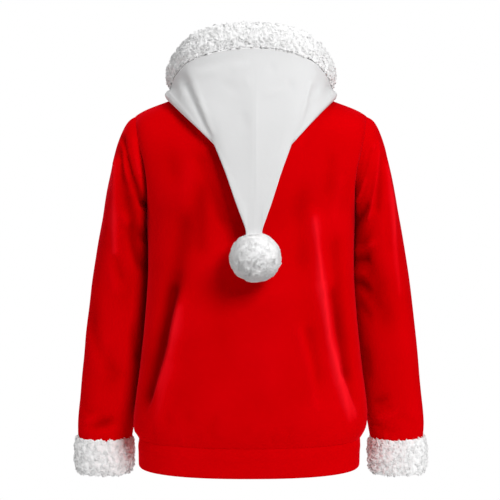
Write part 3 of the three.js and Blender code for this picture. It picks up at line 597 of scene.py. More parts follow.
def panel_points(panel, across, rise):
    """Points of a panel: across from -1 to 1, rise from -1 at the hem by 0 at the armpits to 1 above."""
    depth = "back" if panel["side"] > 0 else "front"
    width = body_ring(across)
    low_z = ARMPIT_Z + rise * (ARMPIT_Z - HEM_TOP)
    top_z, top_y = top_edge(panel, across * SHOULDER_X)
    middle = BODY_RINGS[depth][-1] * width
    curve = np.sqrt(np.clip(1 - np.maximum(rise, 0) ** 3, 0, None))
    bulge = read(ARMHOLE, "bulge", rise) * (1 - width) ** 1.2
    high_y = top_y + np.maximum(0, middle - top_y) * curve + bulge
    x = across * np.where(rise <= 0, read(BODY_RINGS, "half", low_z), read(ARMHOLE, "x", rise))
    y = np.where(rise <= 0, read(BODY_RINGS, depth, low_z) * width, high_y) + SEAM_GAP / 2
    z = np.where(rise <= 0, low_z, ARMPIT_Z + rise * (top_z - ARMPIT_Z))
    return np.stack([x, panel["side"] * y, z], -1)


ARMPIT_LEAN = {"most": 1.3, "width": 0.1}
VALLEY = {"depth": 6.5, "body_width": 4, "sleeve_width": 12, "in": 0.12, "to": 0.82, "out": 0.45}
SEAM_FADE = {"from": 0.55, "over": 0.25}
ARMHOLE_OVAL = 0.7


def armhole_normals(points, turn, lean):
    """Directions out of the armhole at turns of it: 0 armpit, 0.25 back, 0.5 shoulder point, 0.75 front."""
    middle = (ARMPIT_Z - SHOULDER_DROP) / 2
    low = np.exp(-(np.minimum(turn, 1 - turn) / ARMPIT_LEAN["width"]) ** 2)
    flat = np.stack([0 * turn, points[:, 1], (points[:, 2] - middle) * ARMHOLE_OVAL], -1)
    return unit(unit(flat) + np.outer(lean * ARMPIT_LEAN["most"] * low, (1, 0, 0)))


def armhole_valley(points, edge, turn, width):
    """Points sunk along the armhole's seam, most at half its height: a fold made by the cloth's weight."""
    out = armhole_normals(edge, turn, 0)
    rise = 1 - np.abs(1 - 2 * turn)
    deep = VALLEY["depth"] * smooth(rise / VALLEY["in"]) * smooth((VALLEY["to"] - rise) / VALLEY["out"])
    off = np.linalg.norm(points - edge, axis=-1)
    return raised(points, out, -deep * np.exp(-(off / width) ** 2))


def seam_share(rise):
    """The armhole's seam vanishes in the pile towards the shoulder."""
    return 1 - smooth((rise - SEAM_FADE["from"]) / SEAM_FADE["over"])


# Height and length of each cloth's soft waves, the number of waves and the usual height of their sum
RIPPLES = {"panel": (0.7, 90), "sleeve": (0.6, 80), "band": (0.5, 70), "hood": (0.3, 60),
           "fleece": (0.6, 16)}
WAVES = 7
WAVES_HEIGHT = 2.6


def ripples(points, height, length, seed):
    """Low soft waves in no one direction, as in cloth that has been worn."""
    draw = np.random.default_rng(seed)
    ways = unit(draw.normal(size=(WAVES, 3)))
    waves = ways * 2 * np.pi / (length * draw.uniform(0.7, 1.6, (WAVES, 1)))
    return height * np.sin(points @ waves.T + draw.uniform(0, 6.3, WAVES)).sum(-1) / WAVES_HEIGHT


PUCKER = {"lean": (-0.25, 0.25), "width": (3.5, 7.5), "share": (0.35, 1), "rise": (-1.5, 1.7)}
PUCKER_START = 5


# Number, reach and height of the gathers of each piece
GATHERS = {"panel": (26, 34, 1.4), "sleeve": (20, 26, 1), "band": (60, 14, 0.5)}


def puckers(along, off, count, reach, high, seed):
    """Small gathers beside a seam: along and off are the distances along the seam and from it."""
    draw = np.random.default_rng(seed)
    height = np.zeros_like(along)
    for _ in range(count):
        middle = draw.uniform(along.min(), along.max())
        lean, width, share, rise = (draw.uniform(*limits) for limits in PUCKER.values())
        near = smooth(off / PUCKER_START) * np.exp(-(off / (share * reach)) ** 2)
        height += rise * near * np.exp(-((along - middle - lean * off) / width) ** 2)
    return height * high


def cloth(name, outer, normals, thick, closed, material, slot, height):
    """A piece of cloth: a thin wall inside a grid of points."""
    walls = wall(outer, outer - normals * thick, closed)
    return mesh_object(name, *walls, material, slot, painted_fold_light=height)


CALM_ROUNDS = {"panel": 10, "sleeve": 4}
BORDER = {"folds": 2.5, "gathers": 0.5}          # steps from a panel's edge in which they come up


def body_panel(name, lines, material):
    panel = PANELS[name]
    side = panel["side"]
    low = np.linspace(-1, 0, LOWER_ROWS * FINER + 1)
    high = np.linspace(0, 1, ARMHOLE_ROWS * FINER + 1)[1:]
    columns = np.linspace(-COLUMNS, COLUMNS, 2 * COLUMNS * FINER + 1)
    column, rise = np.meshgrid(columns, np.concatenate([low, high]))
    points = calmed(panel_points(panel, across_at(column, rise), rise), CALM_ROUNDS["panel"], False)
    middle = (points.shape[0] // 3, points.shape[1] // 2)
    normals = grid_normals(points, False, *middle, (0, side, 0))
    row = np.where(rise <= 0, (rise + 1) * LOWER_ROWS, LOWER_ROWS + rise * ARMHOLE_ROWS)
    border = np.minimum(np.minimum(row, LOWER_ROWS + ARMHOLE_ROWS - row), COLUMNS - np.abs(column))
    x, z = points[..., 0], points[..., 2]
    height = fold_height(lines, x, z) + ripples(points, *RIPPLES["panel"], 3 + side)
    gathers = puckers(x, z - HEM_TOP, *GATHERS["panel"], 20 + side)
    height = height * smooth(border / BORDER["folds"]) + gathers * smooth(border / BORDER["gathers"])
    points = raised(points, normals, height)
    share = np.clip(rise[:, 0], 0, 1) / 2
    turn = share if side > 0 else 1 - share
    wide = VALLEY["body_width"]
    for edge, half in ((0, points[:, :COLUMNS * FINER]), (-1, points[:, COLUMNS * FINER + 1:])):
        seam = half[:, edge].copy()
        half[:] = np.stack([armhole_valley(half[:, k], seam, turn, wide) for k in range(half.shape[1])], 1)
    normals = grid_normals(points, False, *middle, (0, side, 0))
    seams = (points[:1], points[-1:], points[:, :1], points[:, -1:])
    points = dip_seams(points, normals, seams, seam_share(rise))
    for edge, sign in ((0, -1), (-1, 1)):
        out = armhole_normals(points[:, edge], turn, 1)
        out[rise[:, edge] <= 0] = (1, 0, 0)
        normals[:, edge] = out * (sign, 1, 1)
    over = np.abs(column[-1]) >= NECK_COLUMNS
    normals[-1, over] = (0, 0, 1)
    normals[-1, ~over] = unit(np.abs(normals[-1, ~over]) * (0, side, 1))
    return cloth("dress_" + name, swayed(points), normals, PLUSH, False, material, "red_plush", height)


# Sleeves

def power(value, exponent):
    return np.sign(value) * np.abs(value) ** exponent


def sleeve_section(step, turn):
    inner = read_points(SLEEVE_RINGS, "inner_x y inner_z", step)
    outer = read_points(SLEEVE_RINGS, "outer_x y outer_z", step)
    angle = turn * 2 * np.pi
    across = -power(np.cos(angle), SLEEVE_OVAL)[..., None] * (outer - inner) / 2
    deep = read(SLEEVE_RINGS, "half", step) * power(np.sin(angle), SLEEVE_OVAL)
    return (inner + outer) / 2 + across + deep[..., None] * np.array([0, 1, 0])


def armhole_points(turn):
    rise = np.maximum(1e-6, 1 - np.abs(1 - 2 * turn))
    ones = np.ones_like(turn)
    back = panel_points(PANELS["back"], ones, rise)
    front = panel_points(PANELS["front"], ones, rise)
    return np.where((turn <= 0.5)[..., None], back, front)


SLEEVE_END = 1.2       # steps from a sleeve's ends in which its folds come up
OFF_INNER = 9          # they die out within 1 / 9 of a turn of the sleeve's inner line


def sleeve(name, sign, material):
    steps = np.linspace(0, SLEEVE_STEPS, SLEEVE_STEPS * FINER + 1)
    turns = np.arange(SLEEVE_SIDES) / SLEEVE_SIDES
    turn, step = np.meshgrid(turns, steps)
    seam = armhole_points(turn) - sleeve_section(0 * step, turn) + np.array([SEAM_GAP, 0, 0])
    points = sleeve_section(step, turn) + seam * (1 - smooth(step / 4))[..., None]
    points = calmed(points, CALM_ROUNDS["sleeve"], True)
    middle = (points.shape[0] // 2, points.shape[1] // 2)
    normals = grid_normals(points, True, *middle, (1, 0, 0))
    ends = smooth(step / SLEEVE_END) * smooth((SLEEVE_STEPS - step) / SLEEVE_END)
    off_inner = np.minimum(turn, 1 - turn)
    x, z = points[..., 0], points[..., 2]
    behind = smooth(np.sin(turn * 2 * np.pi) * 3)
    before = smooth(-np.sin(turn * 2 * np.pi) * 3)
    height = sleeve_fold_height(SLEEVE_FOLDS[name], step, turn) * smooth(off_inner * OFF_INNER)
    clear = smooth(off_inner * OFF_INNER + 0.15)
    height += fold_height(SLEEVE_CREASES[name], x, z) * behind * clear
    height += fold_height(SLEEVE_CREASES[OTHER_SIDE[name]], x + 6, z + 14) * before * clear
    height += ripples(points, *RIPPLES["sleeve"], 40 + sign) * smooth(off_inner * OFF_INNER)
    height *= ends
    height += HEAD_EASE * np.exp(-((turn - 0.5) / 0.05) ** 2) * smooth(step / 0.4) * (1 - smooth(step / 2.5))
    off_cuff = z - SLEEVE_RINGS["inner_z"][-1]
    gathers = puckers(turn * SLEEVE_ROUND, off_cuff, *GATHERS["sleeve"], 50 + sign)
    height += gathers * smooth(off_inner * 20)
    points = raised(points, normals, height)
    points = armhole_valley(points, points[0], turn[0], VALLEY["sleeve_width"])
    normals = grid_normals(points, True, *middle, (1, 0, 0))
    seams = (points[:1], points[-1:])
    points = dip_seams(points, normals, seams, seam_share(1 - np.abs(1 - 2 * turn)))
    normals[0] = armhole_normals(points[0], turn[0], -1)
    normals[-1] = unit(normals[-1] * (1, 1, 0))
    mirror = np.array([sign, 1, 1])
    return cloth("dress_sleeve_" + name, points * mirror, normals * mirror, PLUSH, True, material,
                 "red_plush", height)


# Hem band

HEM_PROFILE = table("at z out", [
    (0, HEM_TOP - SEAM_GAP, -0.2),
    (1, HEM_TOP - 4, 0.3),
    (2, HEM_TOP - 16, 1.3),
    (3, -650, 0.6),
    (4, HEM_BOTTOM + 5, 0.2),
    (5, HEM_BOTTOM + 1, -0.5),
    (6, HEM_BOTTOM, -1.6),
    (7, HEM_BOTTOM + 1, -2.7),
    (8, -650, -2.5),
    (9, HEM_TOP - SEAM_GAP, -3),
])


def oval(half, deep, angle):
    x = half * power(np.cos(angle), 2 / ROUNDNESS)
    return np.stack([x, deep * power(np.sin(angle), 2 / ROUNDNESS), 0 * x], -1)


BAND_SIDES = 264
BAND_STEPS = 45
BAND_RADIUS = 180      # on average


def hem_band(material):
    places = np.linspace(0, HEM_PROFILE["at"][-1], BAND_STEPS + 1)
    angle, place = np.meshgrid(angles(BAND_SIDES), places)
    half, back, front = (BODY_RINGS[name][0] - 1 for name in ("half", "back", "front"))
    out = read(HEM_PROFILE, "out", place)
    deep = np.where(np.sin(angle) > 0, back, front)
    points = oval(half + out, deep + out, angle)
    points[..., 2] = read(HEM_PROFILE, "z", place)
    outside = smooth((6 - place) / 2)
    gathers = puckers(angle * BAND_RADIUS, np.abs(points[..., 2] - HEM_TOP), *GATHERS["band"], 77)
    wave = ripples(points * (1, 1, 0.4), *RIPPLES["band"], 78) + gathers
    points += unit(points * (1, 1, 0)) * (wave * outside)[..., None]
    return ring_object("dress_hem_band", swayed(points), material, "red_plush", wave * outside)


# Fleece: rounded clumps with small curls on them

def spread(points, spacing, draw):
    """Places among the points, no two nearer than the spacing."""
    chosen = []
    for k in draw.permutation(len(points)):
        if not chosen or np.min(np.sum((points[chosen] - points[k]) ** 2, -1)) > spacing ** 2:
            chosen.append(k)
    return points[chosen]


def tree_of(points):
    tree = KDTree(len(points))
    for k, point in enumerate(points):
        tree.insert(point, k)
    tree.balance()
    return tree


CLUMP_REACH = 0.78     # of the clumps' spacing


def clump_height(points, spacing, draw):
    """Height from 0 between clumps to 1 on top of them, for each point of a grid."""
    flat = points.reshape(-1, 3)
    tree = tree_of(spread(flat[::3], spacing, draw))
    off = np.array([tree.find(point)[2] for point in flat]).reshape(points.shape[:2])
    return np.sqrt(np.clip(1 - (off / (spacing * CLUMP_REACH)) ** 2, 0, 1))


def curl_template(rings, sides, reach, thick):
    """A small hook of pile with its root below the surface: points by ring and side, and faces."""
    bend = np.radians(np.linspace(-35, 205, rings))
    middle = np.stack([reach * np.cos(bend), 0 * bend, reach * np.sin(bend)], -1)
    outward = np.stack([np.cos(bend), 0 * bend, np.sin(bend)], -1)
    taper = thick * np.interp(np.arange(rings), [0, rings - 2, rings - 1], [1, 0.85, 0.45])
    turn = angles(sides)
    across = outward[:, None] * np.cos(turn)[:, None] + np.array([0, 1, 0]) * np.sin(turn)[:, None]
    points = middle[:, None] + across * taper[:, None, None]
    points = points.reshape(-1, 3)
    return points, across.reshape(-1, 3), facing_out(points, grid_faces(rings, sides, True))


def placed(template, across, faces, roots, normals, sizes, turns, coat):
    """Copies of a template standing on a surface: their points, faces and normals."""
    helper = np.where(np.abs(normals[:, 2:]) > 0.9, np.array([[1.0, 0, 0]]), np.array([[0, 0, 1.0]]))
    first = unit(np.cross(helper, normals))
    second = np.cross(normals, first)
    ahead = first * np.cos(turns)[:, None] + second * np.sin(turns)[:, None]
    aside = np.cross(normals, ahead)
    basis = np.stack([ahead, aside, normals], 1)
    points = np.einsum("vk,nkx->nvx", template, basis * sizes[:, None, None]) + roots[:, None]
    own = np.einsum("vk,nkx->nvx", across, basis)
    shown = unit(own * (1 - coat) + normals[:, None] * coat)
    return points.reshape(-1, 3), repeated(faces, len(roots), len(template)), shown.reshape(-1, 3)


def pick(points, normals, count, draw):
    """Random places on a ring of points, evenly by area, and the normals there."""
    beside = np.roll(points, -1, 1) - points
    down = np.roll(points, -1, 0) - points
    area = np.linalg.norm(np.cross(beside, down), axis=-1)
    chosen = draw.choice(area.size, count, p=(area / area.sum()).ravel())
    i, j = np.divmod(chosen, area.shape[1])
    u, v = draw.uniform(size=(2, count, 1))
    return points[i, j] + beside[i, j] * u + down[i, j] * v, normals[i, j]


CURL = {"rings": 5, "sides": 4, "reach": 1.7, "thick": 1.15}
COAT = 0.72            # how far a curl's shading is that of the whole coat
CLUMP_DEPTH = 0.33     # of a clump's width
UNDER_CURLS = 0.6      # the clumps below the fleece's form, for the curls on them


def fleece(name, points, normals, clump, count, seed, material):
    """A fleece surface that closes on itself both ways: clumps in its mesh, and a piece of curls on it."""
    draw = np.random.default_rng(seed)
    lumps = clump_height(points, clump, draw)
    small = ripples(points, *RIPPLES["fleece"], seed + 1)
    points = raised(points, normals, clump * CLUMP_DEPTH * (lumps - 1) - UNDER_CURLS + small)
    base = ring_object("dress_" + name, points, material, "white_sherpa")
    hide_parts(name)
    roots, out = pick(points, normals, count, draw)
    out = unit(out + draw.normal(scale=0.2, size=out.shape))
    sizes = draw.uniform(0.7, 1.3, count)
    swirl = ripples(roots, 2.2, 22, seed + 2) + draw.normal(scale=0.6, size=count)
    points, faces, shown = placed(*curl_template(**CURL), roots, out, sizes, swirl, COAT)
    curls = mesh_object("dress_" + name + "_curls", points, faces, material, "white_sherpa", shown)
    return base, curls


# Cuffs

CUFF_PROFILE = table("at drop out", [
    (0, 0.0, -8),
    (1, 0.0, -4),
    (2, 0.12, -0.4),
    (3, 0.34, 1.2),
    (4, 0.66, 1.2),
    (5, 0.88, -0.4),
    (6, 0.99, -4),
    (7, 0.98, -8.5),
    (8, 0.5, -10),
    (9, 0.12, -9.5),
])


CUFF_SIDES = 170
CUFF_STEPS = 72


def cuff(name, sign, material):
    places = np.arange(CUFF_STEPS) / CUFF_STEPS * CUFF_PROFILE["at"][-1]
    angle, place = np.meshgrid(angles(CUFF_SIDES), places)
    out = read(CUFF_PROFILE, "out", place)
    points = oval(CUFF["half"] + out, CUFF["deep"] + out, angle)
    points[..., 2] = CUFF["top"] + read(CUFF_PROFILE, "drop", place) * (CUFF["bottom"] - CUFF["top"])
    points = (points + (CUFF["x"], CUFF["y"], 0)) * (sign, 1, 1)
    normals = grid_normals(points, True, CUFF_STEPS // 3, 0, (sign, 0, 0))
    return fleece("cuff_" + name, points, normals, *FLEECE["cuff"], 60 + sign, material)


# The body's outside, sampled to lay the hood on

FINE = {"rows": 84, "columns": 46, "from": -0.2}


def body_samples():
    points, normals = [], []
    rise, across = np.meshgrid(np.linspace(FINE["from"], 1, FINE["rows"] + 1),
                               np.linspace(-1, 1, 2 * FINE["columns"] + 1), indexing="ij")
    for panel in PANELS.values():
        fine = panel_points(panel, across, rise)
        points.append(fine.reshape(-1, 3))
        out = grid_normals(fine, False, 4, FINE["columns"], (0, panel["side"], 0))
        normals.append(out.reshape(-1, 3))
    return np.concatenate(points), np.concatenate(normals)


ground_points, ground_normals = body_samples()
ground = tree_of(ground_points)


def over_ground(point):
    """Height of a point over the garment, and the direction out of it there."""
    sample = ground.find(point)[1]
    normal = ground_normals[sample]
    return np.dot(point - ground_points[sample], normal), normal


def lift_off(point, height):
    """The point, moved out to a least height over the garment."""
    level, normal = over_ground(point)
    return point + normal * max(0, height - level)


def lay_at(point, height):
    for _ in range(3):
        level, normal = over_ground(point)
        point = point + normal * (height - level)
    return point


def level_under(point):
    off = np.hypot(ground_points[:, 0] - point[0], ground_points[:, 1] - point[1])
    return ground_points[np.argmin(off), 2]


# Hood

CURVE_STEPS = 60


def evenly(points, count):
    """Evenly spaced places along a smooth curve through a few points."""
    points = np.asarray(points, float)
    ends = [2 * points[0] - points[1], *points, 2 * points[-1] - points[-2]]
    fine = []
    for p0, p1, p2, p3 in zip(ends, ends[1:], ends[2:], ends[3:]):
        d0, d1, d2 = (np.linalg.norm(b - a) ** 0.5 for a, b in ((p0, p1), (p1, p2), (p2, p3)))
        m1 = ((p1 - p0) / d0 - (p2 - p0) / (d0 + d1) + (p2 - p1) / d1) * d1
        m2 = ((p2 - p1) / d1 - (p3 - p1) / (d1 + d2) + (p3 - p2) / d2) * d1
        t = np.linspace(0, 1, CURVE_STEPS)[:, None]
        fine.append(curve_between(p1, p2, m1, m2, t))
    fine = np.concatenate(fine)
    length = np.concatenate([[0], np.cumsum(np.linalg.norm(np.diff(fine, axis=0), axis=-1))])
    places = np.linspace(0, length[-1], count + 1)
    return np.stack([np.interp(places, length, fine[:, k]) for k in range(3)], -1)


def opening(at):
    """The opening's edge and the far edge of its band, clear of the garment."""
    edge = read_points(HOOD, "ex ey ez", at)
    lifted = lift_off(edge, EDGE_LIFT)
    return lifted, read_points(HOOD, "tx ty tz", at) + lifted - edge


def neck_point(at):
    panel = PANELS["back" if at <= NECK_COLUMNS else "front"]
    column = at if at <= NECK_COLUMNS else 2 * NECK_COLUMNS - at
    across = across_at(np.array(float(column)), np.array(1.0))
    return panel_points(panel, across, np.array(1.0)) + (0, 0, SEAM_GAP + 0.1)


PLACE_STEP = 0.5
LAST_PLACE = 2 * NECK_COLUMNS

# On the shoulder line the hood's fold lies lower, and its under side turns in less
SHOULDER = {"place": 6, "reach": 0.8, "lower": 1.6, "less": 0.75}


def hood_column(at):
    """One section of the hood's left half, from its opening over the fold to the neck seam."""
    neck = neck_point(math.floor(at)) * (1 - at % 1) + neck_point(math.ceil(at)) * (at % 1)
    turn, rise = read_points(HOOD, "turn rise", at)
    beside = math.exp(-((at - SHOULDER["place"]) / SHOULDER["reach"]) ** 2)
    less = 1 - SHOULDER["less"] * beside
    fold = lay_at(read_points(HOOD, "fx fy fz", at), HOOD_LIFT - SHOULDER["lower"] * beside + turn + rise)
    up = over_ground(fold)[1]
    outward = unit(neck * (1, 1, 0))
    front = float(smooth((at - NECK_COLUMNS) / NECK_COLUMNS + 0.3))
    roll = neck + outward * ROLL["out"] * (1 - 0.4 * front)
    roll[2] = max(neck[2], level_under(roll)) + ROLL["up"] + (ROLL["up_front"] - ROLL["up"]) * front
    inward = roll - fold
    inward = unit(inward - up * np.dot(inward, up))
    full = 0.3 + 0.7 * float(smooth(NECK_COLUMNS + 1.5 - at))
    above = fold + inward * turn * full + up * turn
    below = fold + inward * turn * less - up * turn
    under = lay_at((below + roll) / 2, HOOD_LIFT + rise * 0.12)
    edge, far = opening(at)
    straight = edge + unit(edge - far) * STRAIGHT * (1 - 0.85 * float(smooth((at - 4) / 1.5)))
    outer = evenly([edge, straight, read_points(HOOD, "sx sy sz", at), above], OUTER_PART)
    inner = evenly([below, under, roll, neck], UNDER_PART)
    points = [lift_off(point, OUTER_LIFT) for point in outer]
    for i in range(1, FOLD_PART):
        angle = i / FOLD_PART * math.pi
        back = turn * (1 - math.sin(angle)) * (full if angle < math.pi / 2 else less)
        points.append(fold + inward * back + up * turn * math.cos(angle))
    for i, point in enumerate(inner[:-1]):
        points.append(lift_off(point, HOOD_LIFT * min(1, (UNDER_PART - i) / 2)))
    points.append(inner[-1])
    return [np.maximum(point, (SEAM_GAP / 2, -np.inf, -np.inf)) for point in points]


hood_cage = np.array([hood_column(at) for at in np.arange(0, LAST_PLACE + PLACE_STEP, PLACE_STEP)])


def leaned(points, sign):
    """Points of the left half, or their mirror images, moved by the lean of the centre-back seam."""
    behind = smooth((points[..., 1] - LEAN["from"]) / LEAN["over"])
    by = LEAN["by"] * behind * (1 - smooth(np.abs(points[..., 0]) / LEAN["sides"]))
    points = points * (sign, 1, 1)
    points[..., 0] += by
    return points


CORNER = 4             # place of the corner between the hood's tail and its side
HOOD_FINER = {"rows": 5, "columns": 6}
EVEN_ROUNDS = 40       # of evening out between rows, in the tail's outer layer


def hood_grid():
    """The left half's fine grid, with its place and part at each point."""
    rows, columns = HOOD_FINER["rows"], HOOD_FINER["columns"]
    corner = int(CORNER / PLACE_STEP)
    whole = refined(hood_cage, rows, columns)
    tail, side = (refined(part, rows, columns) for part in (hood_cage[:corner + 1], hood_cage[corner:]))
    at, part = np.meshgrid(np.arange(whole.shape[0]) / rows * PLACE_STEP,
                           np.arange(whole.shape[1]) / columns, indexing="ij")
    share = (smooth((part - 2) / 5) * smooth((OUTER_PART + FOLD_PART + 5 - part) / 4))[..., None]
    points = whole * (1 - share) + np.concatenate([tail, side[1:]]) * share
    even = points
    for _ in range(EVEN_ROUNDS):
        across = np.concatenate([even[1:2] * (-1, 1, 1), even, even[-1:]])
        even = (across[:-2] + 2 * even + across[2:]) / 4
    share = (smooth((3.5 - at) / 2) * smooth((OUTER_PART - part) / 2))[..., None]
    return points * (1 - share) + even * share, at, part


def hood_half(name, sign, material):
    rows, columns = HOOD_FINER["rows"], HOOD_FINER["columns"]
    points, at, part = hood_grid()
    points[..., 0] = np.maximum(points[..., 0], SEAM_GAP / 2)
    middle = (2 * rows, 3 * columns)
    normals = grid_normals(points, False, *middle, (0, 1, 0))
    calm = smooth(part / 1.2) * smooth((OUTER_PART - part) / 2) * smooth(at * 2) * smooth(7 - at)
    x, z = points[..., 0] * sign, points[..., 2]
    waves = ripples(points * (sign, 1, 1), *RIPPLES["hood"], 90)
    height = (fold_height(HOOD_FOLDS, x, z) + waves) * calm
    points = raised(points, normals, height)
    for row, column in zip(*np.nonzero(calm > 0)):
        points[row, column] = lift_off(points[row, column], LEAST_LIFT)
    normals = grid_normals(points, False, *middle, (0, 1, 0))
    normals[[0, -1]] = unit(normals[[0, -1]] * (0, 1, 1))
    inner = points - normals * HOOD_PLUSH
    inner[..., 0] = np.maximum(inner[..., 0], SEAM_GAP / 2)
    walls = wall(leaned(points, sign), leaned(inner, sign), False)
    return mesh_object("dress_hood_" + name, *walls, material, "white_plush", painted_fold_light=height)


# The fleece band round the hood's opening

def hood_trim(material):
    places = np.arange(PLACE_STEP - LAST_PLACE, LAST_PLACE + PLACE_STEP, PLACE_STEP)
    ends = [opening(abs(at)) for at in places]
    mirror = np.stack([np.sign(places + 1e-6), 0 * places + 1, 0 * places + 1], -1)
    edge = np.array([end[0] for end in ends]) * mirror
    far = np.array([end[1] for end in ends]) * mirror
    edge, far = refined(np.stack([edge, far], 1), TRIM["finer"], 1).transpose(1, 0, 2)
    along = np.roll(edge + far, -1, 0) - np.roll(edge + far, 1, 0)
    reach = unit(far - edge)
    out = unit(np.cross(along, reach))
    start = edge + reach * (SEAM_GAP + 0.2)
    middle = (start + far) / 2
    half = np.linalg.norm(middle - far, axis=-1)[:, None, None]
    angle = angles(TRIM["sides"])
    high = power(np.cos(angle), 0.8)
    narrow = TRIM["narrow"] + (1 - TRIM["narrow"]) * smooth((high - TRIM["narrow_from"] + 0.35) / 0.5)
    wide = power(np.sin(angle), 0.7) * narrow * TRIM["thick"] / 2
    points = middle[:, None] + reach[:, None] * high[:, None] * half + out[:, None] * wide[:, None]
    normals = grid_normals(points, True, len(middle) // 2, 0, (0, 0, 1))
    return fleece("hood_trim", points, normals, *FLEECE["trim"], 31, material)


# Pompom: a lumpy ball under a dense coat of short strands

def sphere_directions(count):
    """Evenly spread directions, by the golden angle."""
    k = np.arange(count) + 0.5
    z = 1 - 2 * k / count
    turn = k * math.pi * (3 - math.sqrt(5))
    flat = np.sqrt(1 - z * z)
    return np.stack([flat * np.cos(turn), flat * np.sin(turn), z], -1)


STRANDS = {"count": 12500, "thick": 0.8, "coat": 0.85, "clear": 0.95}
STRAND_RINGS = table("share thick", [(0.78, 0.9), (0.9, 1.0), (1.0, 0.35)])
STRAND_SIDES = 3
BALL = {"around": 150, "up": 76, "pole": 0.02, "clump": 10, "under": 4, "lump": 1.2}


def ball_grid():
    tilts = np.linspace(BALL["pole"], math.pi - BALL["pole"], BALL["up"])
    turn, tilt = np.meshgrid(angles(BALL["around"]), tilts)
    return np.stack([np.sin(tilt) * np.cos(turn), np.sin(tilt) * np.sin(turn), np.cos(tilt)], -1)


def strands(centre, squash, towards, draw):
    """The pompom's coat, bare where the hood's tip goes in: points, faces and shading normals."""
    out = sphere_directions(STRANDS["count"])
    out = unit(out + draw.normal(scale=0.03, size=out.shape))
    out = out[out @ towards < STRANDS["clear"]]
    surface = out * POMPOM["reach"]
    reach = POMPOM["reach"] * draw.uniform(0.965, 1.0, len(out)) + ripples(surface, 0.8, 15, 6) - 0.6
    side = unit(np.cross(out, draw.normal(size=out.shape)))
    bend = draw.uniform(0.5, 3.5, len(out))[:, None] * side
    bend = bend + ripples(surface, 1.8, 18, 7)[:, None] * unit(np.cross(out, (0.3, 0.2, 1)))
    first = unit(np.cross(out, side))
    rings, shown = [], []
    for share, width in zip(*STRAND_RINGS.values()):
        middle = centre + out * squash * (reach * share)[:, None] + bend * smooth((share - 0.7) / 0.4)
        for angle in angles(STRAND_SIDES):
            across = first * math.cos(angle) + side * math.sin(angle)
            rings.append(middle + across * width * STRANDS["thick"])
            shown.append(unit(out * STRANDS["coat"] + across * (1 - STRANDS["coat"])))
    points = np.stack(rings, 1)
    faces = facing_out(points[0], grid_faces(len(rings) // STRAND_SIDES, STRAND_SIDES, True))
    faces = repeated(faces, len(out), len(rings))
    return points.reshape(-1, 3), faces, np.stack(shown, 1).reshape(-1, 3)


def pompom(material):
    draw = np.random.default_rng(5)
    low, high = (np.array(corner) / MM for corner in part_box("pompom"))
    centre = np.array([POMPOM["x"], (low[1] + high[1]) / 2, POMPOM["z"]])
    squash = np.array([1, 1, POMPOM["flat"]])
    ball = ball_grid()
    lumps = clump_height(ball * POMPOM["reach"], BALL["clump"], draw)
    core = POMPOM["reach"] - BALL["under"] + BALL["lump"] * lumps
    flat = (centre + ball * squash * core[..., None]).reshape(-1, 3)
    faces = facing_out(flat, grid_faces(BALL["up"], BALL["around"], True))
    base = mesh_object("dress_pompom", flat, faces, material, "white_pile")
    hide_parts("pompom")
    tip = leaned(hood_cage[0][OUTER_PART + 1], 1)
    points, faces, shown = strands(centre, squash, unit(tip - centre), draw)
    mesh_object("dress_pompom_pile", points, faces, material, "white_pile", shown)


# Materials

def feed(tree, node, inputs):
    """Sets a node's inputs, by name or number, to plain values or to other nodes' outputs."""
    for name, value in inputs.items():
        if isinstance(value, bpy.types.NodeSocket):
            tree.links.new(value, node.inputs[name])
        else:
            node.inputs[name].default_value = value


def new_node(tree, kind, inputs, **settings):
    node = tree.nodes.new("ShaderNode" + kind)
    for name, value in settings.items():
        setattr(node, name, value)
    feed(tree, node, inputs)
    return node


def plain_material(name, colour, roughness):
    material = bpy.data.materials.new(name)
    material.use_nodes = True
    shader = material.node_tree.nodes["Principled BSDF"]
    feed(material.node_tree, shader, {"Base Color": (*colour, 1), "Roughness": roughness})
    return material, material.node_tree, shader


def noise(tree, scale, detail, place):
    return new_node(tree, "TexNoise", {"Scale": scale, "Detail": detail, "Vector": place}).outputs["Fac"]


def ramp(tree, factor, stops):
    node = new_node(tree, "ValToRGB", {"Fac": factor})
    elements = node.color_ramp.elements
    for k, (at, colour) in enumerate(stops):
        element = elements[k] if k < 2 else elements.new(at)
        element.position = at
        element.color = (*colour, 1)
    return node.outputs["Color"]


# Fine relief: the scale of its noise, its strength, and its depth in metres
RELIEF = {"wave": (60, 0.25, 0.0012), "fibres": (900, 0.3, 0.0006), "fuzz": (1500, 0.35, 0.0004)}
WEAR = (0.14, -0.07)   # how far patches of the nap are opened or closed by wear


def bump(tree, place, relief, under=None):
    scale, strength, distance = RELIEF[relief]
    inputs = {"Strength": strength, "Distance": distance, "Height": noise(tree, scale, 2, place)}
    if under:
        inputs["Normal"] = under
    return new_node(tree, "Bump", inputs).outputs["Normal"]


def blend(tree, operation, *values):
    return new_node(tree, "Math", dict(enumerate(values)), operation=operation).outputs[0]


def plush_material(name, stops, roughness, sheen, tint, specular, patch):
    """Short dense pile: colour that shifts in random worn patches, with painted shade in troughs and painted
    highlight on ridges from fold height, a fine uneven surface and a soft sheen.
    """
    material, tree, shader = plain_material(name, stops[1][1], roughness)
    place = new_node(tree, "TexCoord", {}).outputs["Object"]
    # Painted shade and highlight: fold height from the mesh, darker in troughs and lighter on ridges
    painted_fold_light_fac = new_node(tree, "Attribute", {}, attribute_name="painted_fold_light").outputs["Fac"]
    worn = blend(tree, "MULTIPLY_ADD", noise(tree, patch, 3, place), *WEAR)
    feed(tree, shader, {
        "Base Color": ramp(tree, blend(tree, "ADD", worn, painted_fold_light_fac), stops),
        "Sheen Weight": sheen,
        "Sheen Roughness": 0.28,
        "Sheen Tint": (*tint, 1),
        "Specular IOR Level": specular,
        "Normal": bump(tree, place, "fibres", bump(tree, place, "wave")),
    })
    return material


